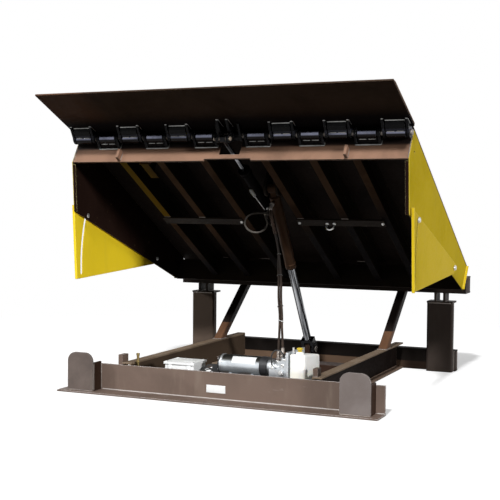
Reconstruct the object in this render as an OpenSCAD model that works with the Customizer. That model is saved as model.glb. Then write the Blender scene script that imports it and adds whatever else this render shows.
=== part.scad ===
// Hydraulic pit dock leveler, deck raised and lip extended. Millimetres, +Z up, +Y into the building.
// The origin lies on the floor, at the middle of the front sill's foot.

/* [Deck] */
// Half of the deck's width
deck_half = 914; // [800:1:1070]
// Thickness of the deck plate
deck_thick = 8; // [6:1:12]
// Raised angle of the deck
deck_angle = 30; // [20:0.5:35]
// Rear hinge to lip hinge, along the deck
lip_u = 1462; // [1300:1:1700]
// Lip hinge height from the rear hinge, across the deck
lip_w = -14; // [-20:1:-8]
// Height of the deck beams
beam_height = 127; // [102:1:152]
// Flange width of the deck beams
beam_flange = 40; // [35:1:50]
// Sheet thickness of the deck beams
beam_thick = 6; // [4:0.5:8]
// Spacing of the deck beams' first pair
beam_x1 = 168; // [150:1:200]
// Spacing of the deck beams' second pair
beam_x2 = 420; // [380:1:460]
// Spacing of the deck beams' third pair
beam_x3 = 641; // [600:1:700]
// Depth of the header plate below the rear hinge line
header_low = 135; // [120:1:150]
// Thickness of the header plate
header_thick = 10; // [8:1:14]

/* [Lip] */
// How far the lip stands out past each side of the deck
lip_side = 10; // [0:1:20]
// Lip hinge to lip tip
lip_length = 400; // [350:1:410]
// Thickness of the lip plate
lip_thick = 16; // [12:1:19]
// Angle of the extended lip below the deck's plane
lip_crown = 5; // [3:0.5:8]
// Radius of the lip hinge tubes
knuckle_r = 25; // [22:0.5:27]
// Radius of the lip hinge pin
hinge_pin_r = 14; // [12:0.5:16]
// Space between two lip hinge knuckles
knuckle_gap = 12; // [10:1:20]
// Thickness of the knuckles' end cheeks
cheek_thick = 12; // [8:1:15]
// Groove between a cheek and its strap
cheek_groove = 6; // [4:1:8]

/* [Side guards] */
// Thickness of the fixed side panels
panel_thick = 5; // [3:0.5:6]
// Thickness of the sliding toe guards
guard_thick = 4; // [3:0.5:5]
// Space between a side panel and its toe guard
guard_gap = 5.5; // [5:0.5:8]
// Radius of the toe guard's bolts
bolt_r = 7; // [6:0.5:8]

/* [Frame] */
// Half of the base frame's width
frame_half = 850; // [780:1:880]
// Depth of the front sill's foot
sill_depth = 126; // [110:1:140]
// Height of the front sill
sill_height = 140; // [120:1:150]
// Thickness of the front sill
sill_thick = 8; // [6:1:12]
// Height of the lip keepers
keeper_height = 202; // [190:1:215]
// Width of the lip keepers
keeper_width = 148; // [120:1:170]
// Thickness of the lip keepers
keeper_thick = 10; // [8:1:12]
// Height of the keeper gussets
gusset_height = 152; // [120:1:154]
// Height of the side channels
channel_height = 152; // [127:1:160]
// Flange width of the side channels
channel_flange = 48; // [40:1:60]
// Distance of the side channels' webs from the middle
channel_x = 490; // [450:1:520]
// Width of a rear post
post_width = 152; // [120:1:160]
// Depth of a rear post
post_depth = 51; // [45:1:60]
// Wall of the rear posts and braces
tube_wall = 6; // [4:0.5:8]
// Height of the rear base channel
base_height = 122; // [110:1:140]
// Half of the rear beam's length
beam_half = 914; // [880:1:940]
// Height of the rear beam
beam_high = 97; // [85:1:105]
// Height of the lugs between the rear posts and the rear beam
lug_high = 48; // [40:1:60]
// Rear hinge axis above the rear beam
hinge_rise = 25; // [22:1:28]
// Depth of the rear beam
beam_depth = 120; // [100:1:140]
// Rear hinge axis from the origin
hinge_y = 1475; // [1470:1:1480]
// Height of the rear hinge axis
hinge_z = 580; // [575:1:585]
// Side of the square brace tubes
brace_side = 50; // [40:1:60]

/* [Cylinders] */
// Lift cylinder from the middle
lift_x = 80; // [70:1:95]
// Radius of the lift cylinder
lift_r = 29; // [26:0.5:31]
// Radius of the lift rod
lift_rod_r = 21.5; // [18:0.5:22]
// Upper pin of the lift cylinder along the deck
lift_u = 1030; // [1010:1:1050]
// Upper pin of the lift cylinder below the rear hinge line
lift_low = 57; // [50:1:62]
// Lower pin of the lift cylinder from the origin
foot_y = 1136; // [1125:1:1150]
// Lower pin of the lift cylinder above the floor
foot_z = 130; // [120:1:140]
// Lip cylinder from the middle
ram_x = -13; // [-20:1:-5]
// Radius of the lip cylinder
ram_r = 28; // [22:0.5:32]
// Radius of the lip cylinder's rod
ram_rod_r = 12; // [10:0.5:14]
// Distance of the lip rod's line below the lip hinge
ram_drop = 47; // [45:1:48]

/* [Power unit] */
// Front of the power unit's shelf
shelf_y = 75; // [70:1:90]
// Height of the power unit's shelf
shelf_z = 62; // [50:1:80]
// Radius of the motor
motor_r = 47; // [40:1:50]
// Length of the motor
motor_len = 227; // [200:1:240]
// Height of the motor's axis above the shelf
motor_rise = 107; // [100:1:115]
// Width of the oil tank
tank_width = 84; // [70:1:100]
// Depth of the oil tank
tank_depth = 218; // [180:1:240]
// Height of the oil tank
tank_height = 184; // [160:1:200]
// Width of the control box's lid
box_width = 170; // [150:1:200]
// Depth of the control box's lid
box_depth = 145; // [120:1:160]
// Height of the control box with its lid
box_height = 110; // [90:1:130]

/* [Hidden] */
$fn = 48;
sill_front = -sill_depth / 2;
web_front = sill_depth / 2 - sill_thick;
web_back = sill_depth / 2;
keeper_y = -30;
keeper_x = frame_half - 44 - keeper_width;
deck_top = 30;
deck_under = deck_top - deck_thick;
deck_front_u = lip_u - 7;
header_u = lip_u - 34;
header_out = header_u - lip_u;
beam_start = 60;
lip_half = deck_half + lip_side;
lip_under = knuckle_r + 6;
knuckle_pitch = (deck_half + 3) / 6.5;
knuckle_len = knuckle_pitch - knuckle_gap;
strap_len = knuckle_len - 2 * (cheek_thick + cheek_groove);
rib_out = 34;
cut_left = ram_x - 52;
cut_right = ram_x + 63;
panel_x = deck_half - panel_thick;
guard_x = deck_half + guard_gap;
guard_pivot = [355, -150];
guard_bolt = [1162, -309];
guard_slot_r = norm(guard_bolt - guard_pivot);
guard_slot_a = atan2(guard_bolt[1] - guard_pivot[1], guard_bolt[0] - guard_pivot[0]);
guard_slot_end = -33;
panel_shape = [[36, deck_under], [header_u, deck_under], [header_u, -header_low], [header_u - 145, -352], [beam_start, -138]];
guard_shape = [[1289, -316], [1065, -646], [345, -182], [331, -168], [327, -150], [330, -130], [340, -118]];
beam_top = hinge_z - hinge_rise;
beam_low = beam_top - beam_high;
beam_y = hinge_y - 25;
curb_half = beam_half - 44;
post_x = frame_half - 9.5 - post_width / 2;
post_y = beam_y - 10;
post_back = post_y + post_depth;
cap_thick = 10;
cap_top = beam_low - lug_high;
post_height = cap_top - cap_thick;
base_back = post_back + 60;
lug_thick = 14;
lug_space = 26;
brace_x = channel_x + channel_flange / 2;
brace_foot_y = post_y - 275;
brace_tilt = 38;
socket_len = 110;
socket_r = 17;
socket_pitch = round(0.175 * deck_half);
top_pin = [hinge_y - lift_u * cos(deck_angle) - lift_low * sin(deck_angle),
           hinge_z + lift_u * sin(deck_angle) - lift_low * cos(deck_angle)];
lift_vec = [foot_y - top_pin[0], foot_z - top_pin[1]];
lift_len = norm(lift_vec);
lift_lean = atan2(lift_vec[0], -lift_vec[1]);
barrel_len = 505;
foot_r = 48;
foot_hole_r = foot_r - 14;
ram_w = lip_w - ram_drop;
ram_pin_r = 8;
ram_front_u = lip_u - 239;
ram_back_u = lip_u - 632;
lever_gap = 20;
lever_thick = 13;
lever_reach = ram_drop * sqrt(2);
lever_slot_r = 12.5;
bar_u = 738;
bar_width = 62;
shelf_depth = 300;
unit_axis_z = shelf_z + motor_rise;
unit_y = shelf_y + 90;
motor_x0 = -22;
motor_end = motor_x0 + motor_len;
block_x = motor_end + 95;
block_width = 38;
block_height = 146;
tank_x = block_x + block_width;
tank_plate = 12;
box_x = -304;
lid_thick = 12;
hose_r = 6;
// Route points of the two hoses, from the cylinders down to the power unit.
lift_hose_pts = [[80, 549.5, 965], [80, 533, 954.5], [82, 519, 935], [88, 512, 905], [97, 511, 868],
                 [107, 511, 830], [118, 509, 790], [132, 500, 745], [160, 466, 649], [188, 413, 566], [214, 350, 490], [248, 280, 412],
                 [266, 236, 363], [292, 180, 305], [305, 152, 260], [307, 145, 240], [307, 145, 222.5]];
lip_hose_pts = [[-13, 687, 915], [-8, 674, 893], [14, 655, 868], [48, 634, 846], [80, 609, 815],
                [101, 583, 775], [117, 550, 730], [140, 490, 648], [170, 425, 565], [196, 362, 489],
                [232, 290, 411], [250, 245, 361], [270, 190, 303], [281, 160, 254], [284, 150, 226], [284, 150, 205.5]];

frame_paint = [0.45, 0.39, 0.35];
guard_paint = [0.86, 0.77, 0.22];
black_paint = [0.12, 0.11, 0.11];
steel = [0.75, 0.75, 0.76];

// Places children on the raised deck: local -Y runs to the front, Z away from the deck's underside.
module on_deck() {
    translate([0, hinge_y, hinge_z])
        rotate([-deck_angle, 0, 0])
            children();
}

// Places children on the extended lip: local -Y runs to the tip.
module on_lip() {
    on_deck()
        translate([0, -lip_u, lip_w])
            rotate([lip_crown, 0, 0])
                children();
}

// A cylinder along X, centred on x0.
module rod_x(r, len, x0 = 0) {
    translate([x0 - len / 2, 0, 0])
        rotate([0, 90, 0])
            cylinder(r = r, h = len);
}

// A plate in the YZ plane from a profile given as (forward, up), centred on x0.
module plate_x(thick, x0 = 0) {
    translate([x0 + thick / 2, 0, 0])
        rotate([90, 0, -90])
            linear_extrude(thick)
                children();
}

// A channel profile with its web on the left, flanges to the right.
module channel_2d(height, flange, thick) {
    difference() {
        square([flange, height]);
        translate([thick, thick])
            square([flange, height - 2 * thick]);
    }
}

// A rectangular tube profile with round corners.
module tube_2d(w, d, r) {
    difference() {
        round_rect(w, d, r);
        round_rect(w - 2 * tube_wall, d - 2 * tube_wall, r - tube_wall);
    }
}

module round_rect(w, d, r) {
    square([w - 2 * r, d], center = true);
    square([w, d - 2 * r], center = true);
    for (sx = [-1, 1])
        for (sy = [-1, 1])
            translate([sx * (w / 2 - r), sy * (d / 2 - r)])
                circle(r = r);
}

module front_sill() {
    color(frame_paint)
        translate([-frame_half, 0, 0])
            rotate([90, 0, 90])
                linear_extrude(2 * frame_half)
                    polygon([[sill_front, 0], [web_back, 0], [web_back, sill_height],
                             [web_front, sill_height], [web_front, sill_thick], [sill_front, sill_thick]]);
}

module keeper_2d() {
    r = 46;
    square([keeper_width, keeper_height - sill_thick - r]);
    translate([r, 0])
        square([keeper_width - 2 * r, keeper_height - sill_thick]);
    for (x = [r, keeper_width - r])
        translate([x, keeper_height - sill_thick - r])
            circle(r = r);
}

module keeper_plates() {
    color(frame_paint)
        for (x = [keeper_x, -keeper_x - keeper_width])
            translate([x, keeper_y + keeper_thick, sill_thick])
                rotate([90, 0, 0])
                    linear_extrude(keeper_thick)
                        keeper_2d();
}

module keeper_gussets() {
    y0 = keeper_y + keeper_thick;
    color(frame_paint)
        for (s = [-1, 1])
            for (x = [keeper_x + 5, keeper_x + keeper_width - 5])
                translate([s * x - 5, y0, sill_thick])
                    cube([10, web_front - y0, gusset_height - sill_thick]);
}

module deck_stops() {
    stop_width = 24;
    stop_top = channel_height + 38;
    color(frame_paint) {
        translate([channel_x, web_back + 13, channel_height])
            cube([stop_width, 46, stop_top - channel_height]);
        translate([-channel_x - channel_flange - stop_width, web_back, sill_thick])
            cube([stop_width, 59, stop_top - sill_thick]);
    }
}

module side_channel() {
    translate([channel_x, web_back, 0])
        rotate([90, 0, 0])
            mirror([0, 0, 1])
                linear_extrude(post_back - web_back)
                    channel_2d(channel_height, channel_flange, 8);
}

module side_channel_right() {
    color(frame_paint)
        side_channel();
}

module side_channel_left() {
    color(frame_paint)
        mirror([1, 0, 0])
            side_channel();
}

module rear_base_channel() {
    color(frame_paint)
        translate([-frame_half, post_back, 0])
            rotate([90, 0, 90])
                linear_extrude(2 * frame_half)
                    channel_2d(base_height, base_back - post_back, 8);
}

module rear_post(s) {
    translate([s * post_x, post_y + post_depth / 2, 0])
        linear_extrude(post_height)
            tube_2d(post_width, post_depth, 12);
}

module rear_post_left() {
    color(frame_paint)
        rear_post(-1);
}

module rear_post_right() {
    color(frame_paint)
        rear_post(1);
}

module post_caps() {
    color(frame_paint)
        for (s = [-1, 1])
            translate([s * post_x - post_width / 2, post_y, post_height])
                cube([post_width, 100, cap_thick]);
}

module beam_lugs() {
    color(frame_paint)
        for (s = [-1, 1])
            for (k = [-1, 1])
                translate([s * post_x + k * lug_space - lug_thick / 2, post_y + 2, cap_top])
                    cube([lug_thick, 90, beam_low - cap_top]);
}

module rear_hinge_beam() {
    color(frame_paint)
        translate([-beam_half, beam_y, beam_low])
            rotate([90, 0, 90])
                linear_extrude(2 * beam_half)
                    channel_2d(beam_top - beam_low, beam_depth, 9);
}

module rear_curb_angle() {
    y0 = hinge_y + 29;
    y1 = beam_y + beam_depth;
    z1 = hinge_z + deck_top;
    color(frame_paint)
        translate([-curb_half, 0, 0])
            rotate([90, 0, 90])
                linear_extrude(2 * curb_half)
                    polygon([[y0, beam_top], [y0 + 9, beam_top], [y0 + 9, z1 - 9], [y1, z1 - 9], [y1, z1], [y0, z1]]);
}

module brace(s) {
    intersection() {
        translate([s * brace_x, brace_foot_y, channel_height])
            rotate([-(90 - brace_tilt), 0, 0])
                translate([0, 0, -100])
                    linear_extrude(900)
                        tube_2d(brace_side, brace_side, 9);
        translate([s * brace_x - 60, brace_foot_y - 200, channel_height])
            cube([120, 900, beam_low - channel_height]);
    }
}

module brace_left() {
    color(frame_paint)
        brace(-1);
}

module brace_right() {
    color(frame_paint)
        brace(1);
}

module rear_hinge_sockets() {
    color(frame_paint)
        for (k = [-5, -3, -1, 1, 3, 5])
            difference() {
                x = k * socket_pitch;
                union() {
                    translate([0, hinge_y, hinge_z])
                        rod_x(socket_r, socket_len, x);
                    translate([x - socket_len / 2, hinge_y - socket_r, beam_top])
                        cube([socket_len, 2 * socket_r, hinge_z - beam_top]);
                }
                translate([0, hinge_y, hinge_z])
                    rod_x(11, socket_len + 2, x);
            }
}

module rear_hinge_pin() {
    color(steel)
        translate([0, hinge_y, hinge_z])
            rod_x(10, 2 * deck_half - 8);
}

module cylinder_foot() {
    color(frame_paint) {
        translate([-channel_x, foot_y - 60, 0])
            rotate([90, 0, 90])
                linear_extrude(2 * channel_x)
                    difference() {
                        square([120, 50]);
                        translate([8, -1])
                            square([104, 43]);
                    }
        difference() {
            translate([lift_x - 13, 0, 0])
                union() {
                    translate([0, foot_y - foot_r, 50])
                        cube([26, 2 * foot_r, foot_z - 50]);
                    translate([0, foot_y, foot_z])
                        rotate([0, 90, 0])
                            cylinder(r = foot_r, h = 26);
                }
            translate([lift_x - 14, foot_y, foot_z])
                rotate([0, 90, 0])
                    cylinder(r = foot_hole_r, h = 28);
        }
    }
}

module power_unit_shelf() {
    color(frame_paint)
        translate([-channel_x, shelf_y, shelf_z - 6])
            cube([2 * channel_x, shelf_depth, 6]);
}

module pump_motor() {
    foot_high = motor_rise - motor_r + 8;
    color([0.72, 0.72, 0.70])
        union() {
            translate([motor_x0, unit_y, unit_axis_z])
                rotate([0, 90, 0])
                    cylinder(r = motor_r, h = motor_len);
            for (x = [motor_x0 + 35, motor_end - 75])
                translate([x, unit_y - motor_r, shelf_z])
                    cube([40, 2 * motor_r, 6]);
            for (x = [motor_x0 + 50, motor_end - 60])
                translate([x, unit_y - 30, shelf_z])
                    cube([10, 60, foot_high]);
        }
}

module motor_end_bell() {
    color(black_paint)
        union() {
            translate([motor_x0 - 10, unit_y, unit_axis_z])
                rotate([0, 90, 0])
                    cylinder(r = motor_r - 6, h = 10);
            translate([motor_x0 - 44, unit_y - 28, unit_axis_z - 45])
                cube([36, 56, 42]);
        }
}

module hydraulic_pump() {
    color([0.62, 0.62, 0.60])
        union() {
            translate([motor_end, unit_y, unit_axis_z])
                rotate([0, 90, 0]) {
                    cylinder(r = motor_r - 2, h = 12);
                    cylinder(r = motor_r - 12, h = 58);
                    cylinder(r = motor_r - 20, h = block_x - motor_end);
                }
            translate([motor_end + 42, unit_y - 46, unit_axis_z - 40])
                cube([block_x - motor_end - 42, 60, 36]);
            translate([lip_hose_pts[15][0], lip_hose_pts[15][1], unit_axis_z])
                cylinder(r = 10, h = lip_hose_pts[15][2] - 0.5 - unit_axis_z);
        }
}

module valve_block() {
    top = shelf_z + block_height;
    color([0.70, 0.70, 0.68])
        union() {
            translate([block_x, unit_y - 50, shelf_z])
                cube([block_width, 90, block_height]);
            translate([lift_hose_pts[16][0] + 4, lift_hose_pts[16][1], top - 5])
                cylinder(r = 10, h = lift_hose_pts[16][2] - 0.5 - top + 5);
            translate([block_x + 20, unit_y + 22, top - 5])
                cylinder(r = 13, h = 35);
            translate([block_x + 14, unit_y - 62, shelf_z + 90])
                rotate([-90, 0, 0])
                    cylinder(r = 11, h = 20);
        }
}

module reservoir() {
    y0 = unit_y - 53;
    color([0.90, 0.90, 0.88])
        union() {
            translate([tank_x, y0 - 4, shelf_z])
                cube([tank_plate, tank_depth + 9, tank_height + 6]);
            translate([tank_x + tank_plate / 2 + tank_width / 2, y0 + tank_depth / 2, shelf_z]) {
                linear_extrude(tank_height - 8)
                    round_rect(tank_width + tank_plate, tank_depth, 14);
                linear_extrude(tank_height)
                    round_rect(tank_width + tank_plate - 12, tank_depth - 12, 10);
            }
            translate([tank_x + 57, unit_y - 15, shelf_z])
                cylinder(r = 16, h = tank_height + 8);
        }
}

module filler_cap() {
    color([0.88, 0.75, 0.15])
        translate([tank_x + 57, unit_y - 15, shelf_z + tank_height + 8])
            union() {
                cylinder(r = 9, h = 14);
                translate([0, 0, 8])
                    cylinder(r = 13, h = 10);
            }
}

module tank_breather() {
    color(steel)
        translate([tank_x + tank_plate + 12, unit_y - 15, shelf_z + tank_height])
            union() {
                cylinder(r = 8, h = 10);
                cylinder(r = 5, h = 27);
            }
}

module control_box() {
    inset = 6;
    color([0.88, 0.88, 0.86])
        translate([box_x + inset, shelf_y + 1, shelf_z])
            cube([box_width - 2 * inset, box_depth - 2 * inset, box_height - lid_thick]);
}

module control_box_lid() {
    color([0.92, 0.92, 0.90])
        translate([box_x, shelf_y - 5, shelf_z + box_height - lid_thick])
            cube([box_width, box_depth, lid_thick]);
}

module latch_pin() {
    high = 123;
    color([0.80, 0.62, 0.22])
        translate([-channel_x + 16, web_back + 47, shelf_z])
            union() {
                cylinder(r = 7, h = high);
                translate([0, 0, 88])
                    cylinder(r = 11, h = 9);
                translate([0, 0, high])
                    cylinder(r = 9, h = 12);
            }
}

module deck_plate() {
    color(frame_paint)
        on_deck()
            translate([-deck_half, -deck_front_u, deck_under])
                cube([2 * deck_half, deck_front_u, deck_thick]);
}

// The header with its opening for the lip cylinder, its raised lower edge and the two lip stops.
module deck_header() {
    strip_top = header_low - 35;
    raise = 11;
    color(frame_paint)
        on_deck() {
            difference() {
                translate([-panel_x, -header_u, -header_low])
                    cube([2 * panel_x, header_thick, header_low + deck_under]);
                translate([ram_x - 127, -header_u - 1, -header_low - 1])
                    cube([256, header_thick + 2, raise + 1]);
                translate([cut_left, -header_u - 1, -strip_top])
                    cube([cut_right - cut_left, header_thick + 2, strip_top + deck_under + 1]);
            }
            for (x = [-beam_x3 + 14, beam_x3 - 32])
                translate([x - 7, -header_u - rib_out, -header_low + 5])
                    cube([14, rib_out, 53]);
        }
}

// The plate across the rear ends of the deck beams, between the side panels.
module deck_rear_plate() {
    thick = 7;
    color(frame_paint)
        on_deck()
            translate([-panel_x, -beam_start, panel_shape[4][1]])
                cube([2 * panel_x, thick, -panel_shape[4][1]]);
}

module deck_beams() {
    socket_x = -(beam_x2 + beam_x3) / 2;
    color(frame_paint)
        on_deck() {
            for (s = [-1, 1])
                for (x = [beam_x1, beam_x2, beam_x3])
                    translate([s * x - beam_flange / 2, -beam_start, deck_under - beam_height])
                        rotate([90, 0, 0])
                            linear_extrude(header_u - header_thick - beam_start)
                                channel_2d(beam_height, beam_flange, beam_thick);
            translate([socket_x - 15, -header_u + 211, deck_under - beam_height])
                rotate([90, 0, 0])
                    linear_extrude(142)
                        channel_2d(beam_height, 46, beam_thick);
            translate([socket_x - 15, -header_u + 63, deck_under - beam_height - 6])
                cube([64, 6, 50]);
        }
}

module beam_cross_bar() {
    bars = [[-beam_x3 - 28, -beam_x1 - 10], [beam_x1 - 22, beam_x3 - 9]];
    color(frame_paint)
        on_deck()
            for (b = bars)
                translate([b[0], -bar_u - bar_width, deck_under - beam_height - 10])
                    cube([b[1] - b[0], bar_width, 10]);
}

// A knuckle: a strap round the pin between two end cheeks, with a groove beside each cheek.
module knuckle(x0) {
    difference() {
        union() {
            rod_x(knuckle_r - 5, knuckle_len, x0);
            plate_x(strap_len, x0)
                children(0);
            for (e = [-1, 1])
                plate_x(cheek_thick, x0 + e * (knuckle_len - cheek_thick) / 2)
                    children(1);
        }
        rod_x(hinge_pin_r + 1, knuckle_len + 2, x0);
    }
}

module deck_strap_2d() {
    circle(r = knuckle_r);
    polygon([[header_out, 16], [-4, knuckle_r - 1], [3, 1 - knuckle_r], [header_out + 4, -36], [header_out, -36]]);
}

module deck_cheek_2d() {
    circle(r = knuckle_r + 2);
    polygon([[header_out, 18], [-4, knuckle_r + 1], [6, -knuckle_r], [header_out + 8, -42], [header_out, -42]]);
}

module deck_knuckles() {
    color(black_paint)
        on_deck()
            translate([0, -lip_u, lip_w])
                for (k = [-5, -3, -1, 1, 3, 5])
                    knuckle(k * knuckle_pitch) {
                        deck_strap_2d();
                        deck_cheek_2d();
                    }
}

module lip_hinge_pin() {
    color(steel)
        on_deck()
            translate([0, -lip_u, lip_w])
                rod_x(hinge_pin_r, 13 * knuckle_pitch + 8);
}

// A strip along an edge of a profile, on its left seen from a to b.
module edge_strip(a, b, wide) {
    d = (b - a) / norm(b - a);
    n = [-d[1], d[0]] * wide;
    polygon([a, b, b + n, a + n]);
}

// The fixed panel with its front edge turned in, its rear edge turned out and an access slot.
module side_panel() {
    front_flange = 15;
    rear_flange = 12;
    plate_x(panel_thick, deck_half - panel_thick / 2)
        difference() {
            polygon(panel_shape);
            translate(guard_pivot)
                circle(r = bolt_r + 0.5);
            translate(guard_bolt)
                circle(r = bolt_r + 0.5);
            translate([header_u - 59, -61])
                rotate(-30)
                    square([16, 7], center = true);
        }
    plate_x(front_flange, panel_x - front_flange / 2)
        edge_strip(panel_shape[3], 0.04 * panel_shape[3] + 0.96 * panel_shape[2], panel_thick);
    plate_x(rear_flange, deck_half + rear_flange / 2)
        edge_strip(panel_shape[0], panel_shape[4], panel_thick);
}

module side_panel_right() {
    color(guard_paint)
        on_deck()
            side_panel();
}

module side_panel_left() {
    color(guard_paint)
        on_deck()
            mirror([1, 0, 0])
                side_panel();
}

module guard_bolts() {
    len = guard_gap + guard_thick + panel_thick + 16;
    color(steel)
        on_deck()
            for (s = [-1, 1])
                for (p = [guard_pivot, guard_bolt])
                    translate([0, -p[0], p[1]]) {
                        rod_x(bolt_r, len, s * (deck_half - panel_thick - 8 + len / 2));
                        rod_x(16, 8, s * (deck_half - panel_thick - 4));
                        rod_x(15, 8, s * (deck_half + guard_gap + guard_thick + 7));
                    }
}

module rear_hinge_knuckles() {
    color(frame_paint)
        on_deck()
            for (k = [-4, -2, 2, 4])
                difference() {
                    x = k * socket_pitch;
                    union() {
                        rod_x(socket_r, socket_len, x);
                        translate([x - socket_len / 2, -beam_start, 0])
                            cube([socket_len, beam_start, deck_under]);
                    }
                    rod_x(11, socket_len + 2, x);
                }
}

module lift_bracket() {
    color(frame_paint)
        on_deck()
            for (e = [-1, 1])
                difference() {
                    union() {
                        translate([lift_x + e * 34 - 6, -lift_u - 40, -lift_low])
                            cube([12, 80, lift_low + deck_under]);
                        translate([0, -lift_u, -lift_low])
                            rod_x(40, 12, lift_x + e * 34);
                    }
                    translate([0, -lift_u, -lift_low])
                        rod_x(14, 14, lift_x + e * 34);
                }
}

module lip_ram_barrel() {
    barrel = ram_front_u - ram_back_u;
    color(black_paint)
        on_deck()
            translate([ram_x, -ram_front_u, ram_w])
                rotate([-90, 0, 0])
                    difference() {
                        union() {
                            cylinder(r = ram_r, h = barrel);
                            cylinder(r = ram_r + 4, h = 34);
                            translate([-24, -deck_under + ram_w, barrel - 30])
                                cube([48, deck_under - ram_w, 30]);
                            translate([0, 0, barrel - 20])
                                rotate([-90, 0, 0])
                                    cylinder(r = 10, h = ram_r + 13);
                        }
                        translate([0, 0, -1])
                            cylinder(r = ram_rod_r + 1, h = 240);
                    }
}

module lip_plate() {
    bevel = 36;
    edge = lip_thick / 2;
    color(frame_paint)
        on_lip()
            plate_x(2 * lip_half)
                polygon([[0, lip_under], [lip_length, lip_under], [lip_length, lip_under + edge],
                         [lip_length - bevel, lip_under + lip_thick], [0, lip_under + lip_thick]]);
}

module lip_strap_2d() {
    circle(r = knuckle_r);
    polygon([[-16, 0], [-16, lip_under - 3], [0, lip_under], [62, lip_under], [62, 24], [57, 10], [20, -14]]);
}

module lip_cheek_2d() {
    circle(r = knuckle_r + 2);
    polygon([[-16, 0], [-16, lip_under - 3], [0, lip_under], [76, lip_under], [76, 25], [22, -14]]);
}

module lip_knuckles() {
    color(black_paint)
        on_lip()
            for (k = [-6, -4, -2, 2, 4, 6])
                knuckle(k * knuckle_pitch) {
                    lip_strap_2d();
                    lip_cheek_2d();
                }
}

module lever_2d() {
    difference() {
        union() {
            circle(r = knuckle_r);
            polygon([[-16, 0], [-16, lip_under - 3], [0, lip_under], [112, lip_under], [112, 23], [60, -10], [0, -20]]);
            rotate(-45 + lip_crown)
                translate([0, -20])
                    square([lever_reach, 40]);
            rotate(-45 + lip_crown)
                translate([lever_reach, 0])
                    circle(r = 20);
        }
        rotate(-45 + lip_crown) {
            translate([ram_drop - 1, -lever_slot_r])
                square([lever_reach - ram_drop + 1, 2 * lever_slot_r]);
            translate([ram_drop - 1, 0])
                circle(r = lever_slot_r);
            translate([lever_reach, 0])
                circle(r = lever_slot_r);
        }
    }
}

// The middle knuckle in two halves, each with a slotted lever plate beside the lip rod's eye.
module lip_lever() {
    half = knuckle_len / 2;
    color(black_paint)
        on_lip()
            for (e = [-1, 1]) {
                x0 = ram_x + e * lever_gap;
                x1 = e * half;
                difference() {
                    union() {
                        rod_x(knuckle_r - 3, abs(x1 - x0), (x0 + x1) / 2);
                        plate_x(lever_thick, x0 + e * lever_thick / 2)
                            lever_2d();
                        plate_x(cheek_thick, x1 - e * cheek_thick / 2)
                            lip_cheek_2d();
                    }
                    rod_x(hinge_pin_r + 1, abs(x1 - x0) + 2, (x0 + x1) / 2);
                }
            }
}

// The arc slot that rides on the front bolt.
module guard_slot_2d() {
    reach = 2 * guard_slot_r;
    intersection() {
        difference() {
            circle(r = guard_slot_r + bolt_r + 2, $fn = 240);
            circle(r = guard_slot_r - bolt_r - 2, $fn = 240);
        }
        polygon([[0, 0], [reach * cos(guard_slot_a), reach * sin(guard_slot_a)],
                 [reach * cos(guard_slot_end), reach * sin(guard_slot_end)]]);
    }
    for (a = [guard_slot_a, guard_slot_end])
        rotate(a)
            translate([guard_slot_r, 0])
                circle(r = bolt_r + 1.5);
}

module toe_guard() {
    front_flange = 10;
    plate_x(guard_thick, guard_x + guard_thick / 2)
        difference() {
            polygon(guard_shape);
            translate(guard_pivot)
                circle(r = bolt_r + 1);
            translate(guard_pivot)
                guard_slot_2d();
        }
    plate_x(front_flange, guard_x + guard_thick + front_flange / 2)
        edge_strip(guard_shape[1], guard_shape[0], guard_thick);
}

module toe_guard_right() {
    color(guard_paint)
        on_deck()
            toe_guard();
}

module toe_guard_left() {
    color(guard_paint)
        on_deck()
            mirror([1, 0, 0])
                toe_guard();
}

// Places children on the lift cylinder: local -Z runs from the upper pin to the lower pin.
module on_lift() {
    translate([lift_x, top_pin[0], top_pin[1]])
        rotate([lift_lean, 0, 0])
            children();
}

module lift_barrel() {
    color(black_paint)
        on_lift()
            difference() {
                union() {
                    translate([0, 0, -barrel_len])
                        cylinder(r = lift_r, h = barrel_len - 46);
                    rod_x(24, 46);
                    translate([-16, -16, -60])
                        cube([32, 32, 60]);
                    rod_x(13, 80);
                    translate([0, 0, -66])
                        rotate([90, 0, 0])
                            cylinder(r = 10, h = lift_r + 13);
                }
                translate([0, 0, -barrel_len - 1])
                    cylinder(r = lift_rod_r + 1, h = 410);
            }
}

module lift_rod() {
    color(steel)
        on_lift()
            union() {
                translate([0, 0, -lift_len + 70])
                    cylinder(r = lift_rod_r, h = lift_len - barrel_len - 70 + 60);
                translate([-36, -24, -lift_len + 58])
                    cube([72, 48, 16]);
                for (e = [-1, 1])
                    translate([e * 27 - 9, -24, -lift_len])
                        cube([18, 48, 60]);
                for (e = [-1, 1])
                    translate([0, 0, -lift_len])
                        rod_x(36, 18, e * 27);
                translate([0, 0, -lift_len])
                    rod_x(12, 80);
            }
}

module lip_ram_rod() {
    u1 = lip_u + ram_drop;
    pin_right = lever_gap + lever_thick + 6;
    pin_left = pin_right + 8;
    color(steel)
        on_deck()
            union() {
                translate([ram_x, -u1 + 10, ram_w])
                    rotate([-90, 0, 0])
                        cylinder(r = ram_rod_r, h = u1 - ram_front_u + 60);
                translate([0, -u1, ram_w]) {
                    rod_x(19, 30, ram_x);
                    rod_x(ram_pin_r, pin_right + pin_left, ram_x + (pin_right - pin_left) / 2);
                    rod_x(14, 6, ram_x - pin_left + 5);
                }
            }
}

function unit(v) = v / max(norm(v), 0.000001);
function tangent(p, i) = unit(p[min(i + 1, len(p) - 1)] - p[max(i - 1, 0)]);
function smooth(p, n) = [for (k = [0 : n]) catmull(p, k * (len(p) - 1) / n)];
function catmull(p, t) = let (i = min(floor(t), len(p) - 2), f = t - i, a = p[max(i - 1, 0)], b = p[i], c = p[i + 1],
    d = p[min(i + 2, len(p) - 1)])
    0.5 * (2 * b + (c - a) * f + (2 * a - 5 * b + 4 * c - d) * f * f + (3 * b - a - 3 * c + d) * f * f * f);

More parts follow.
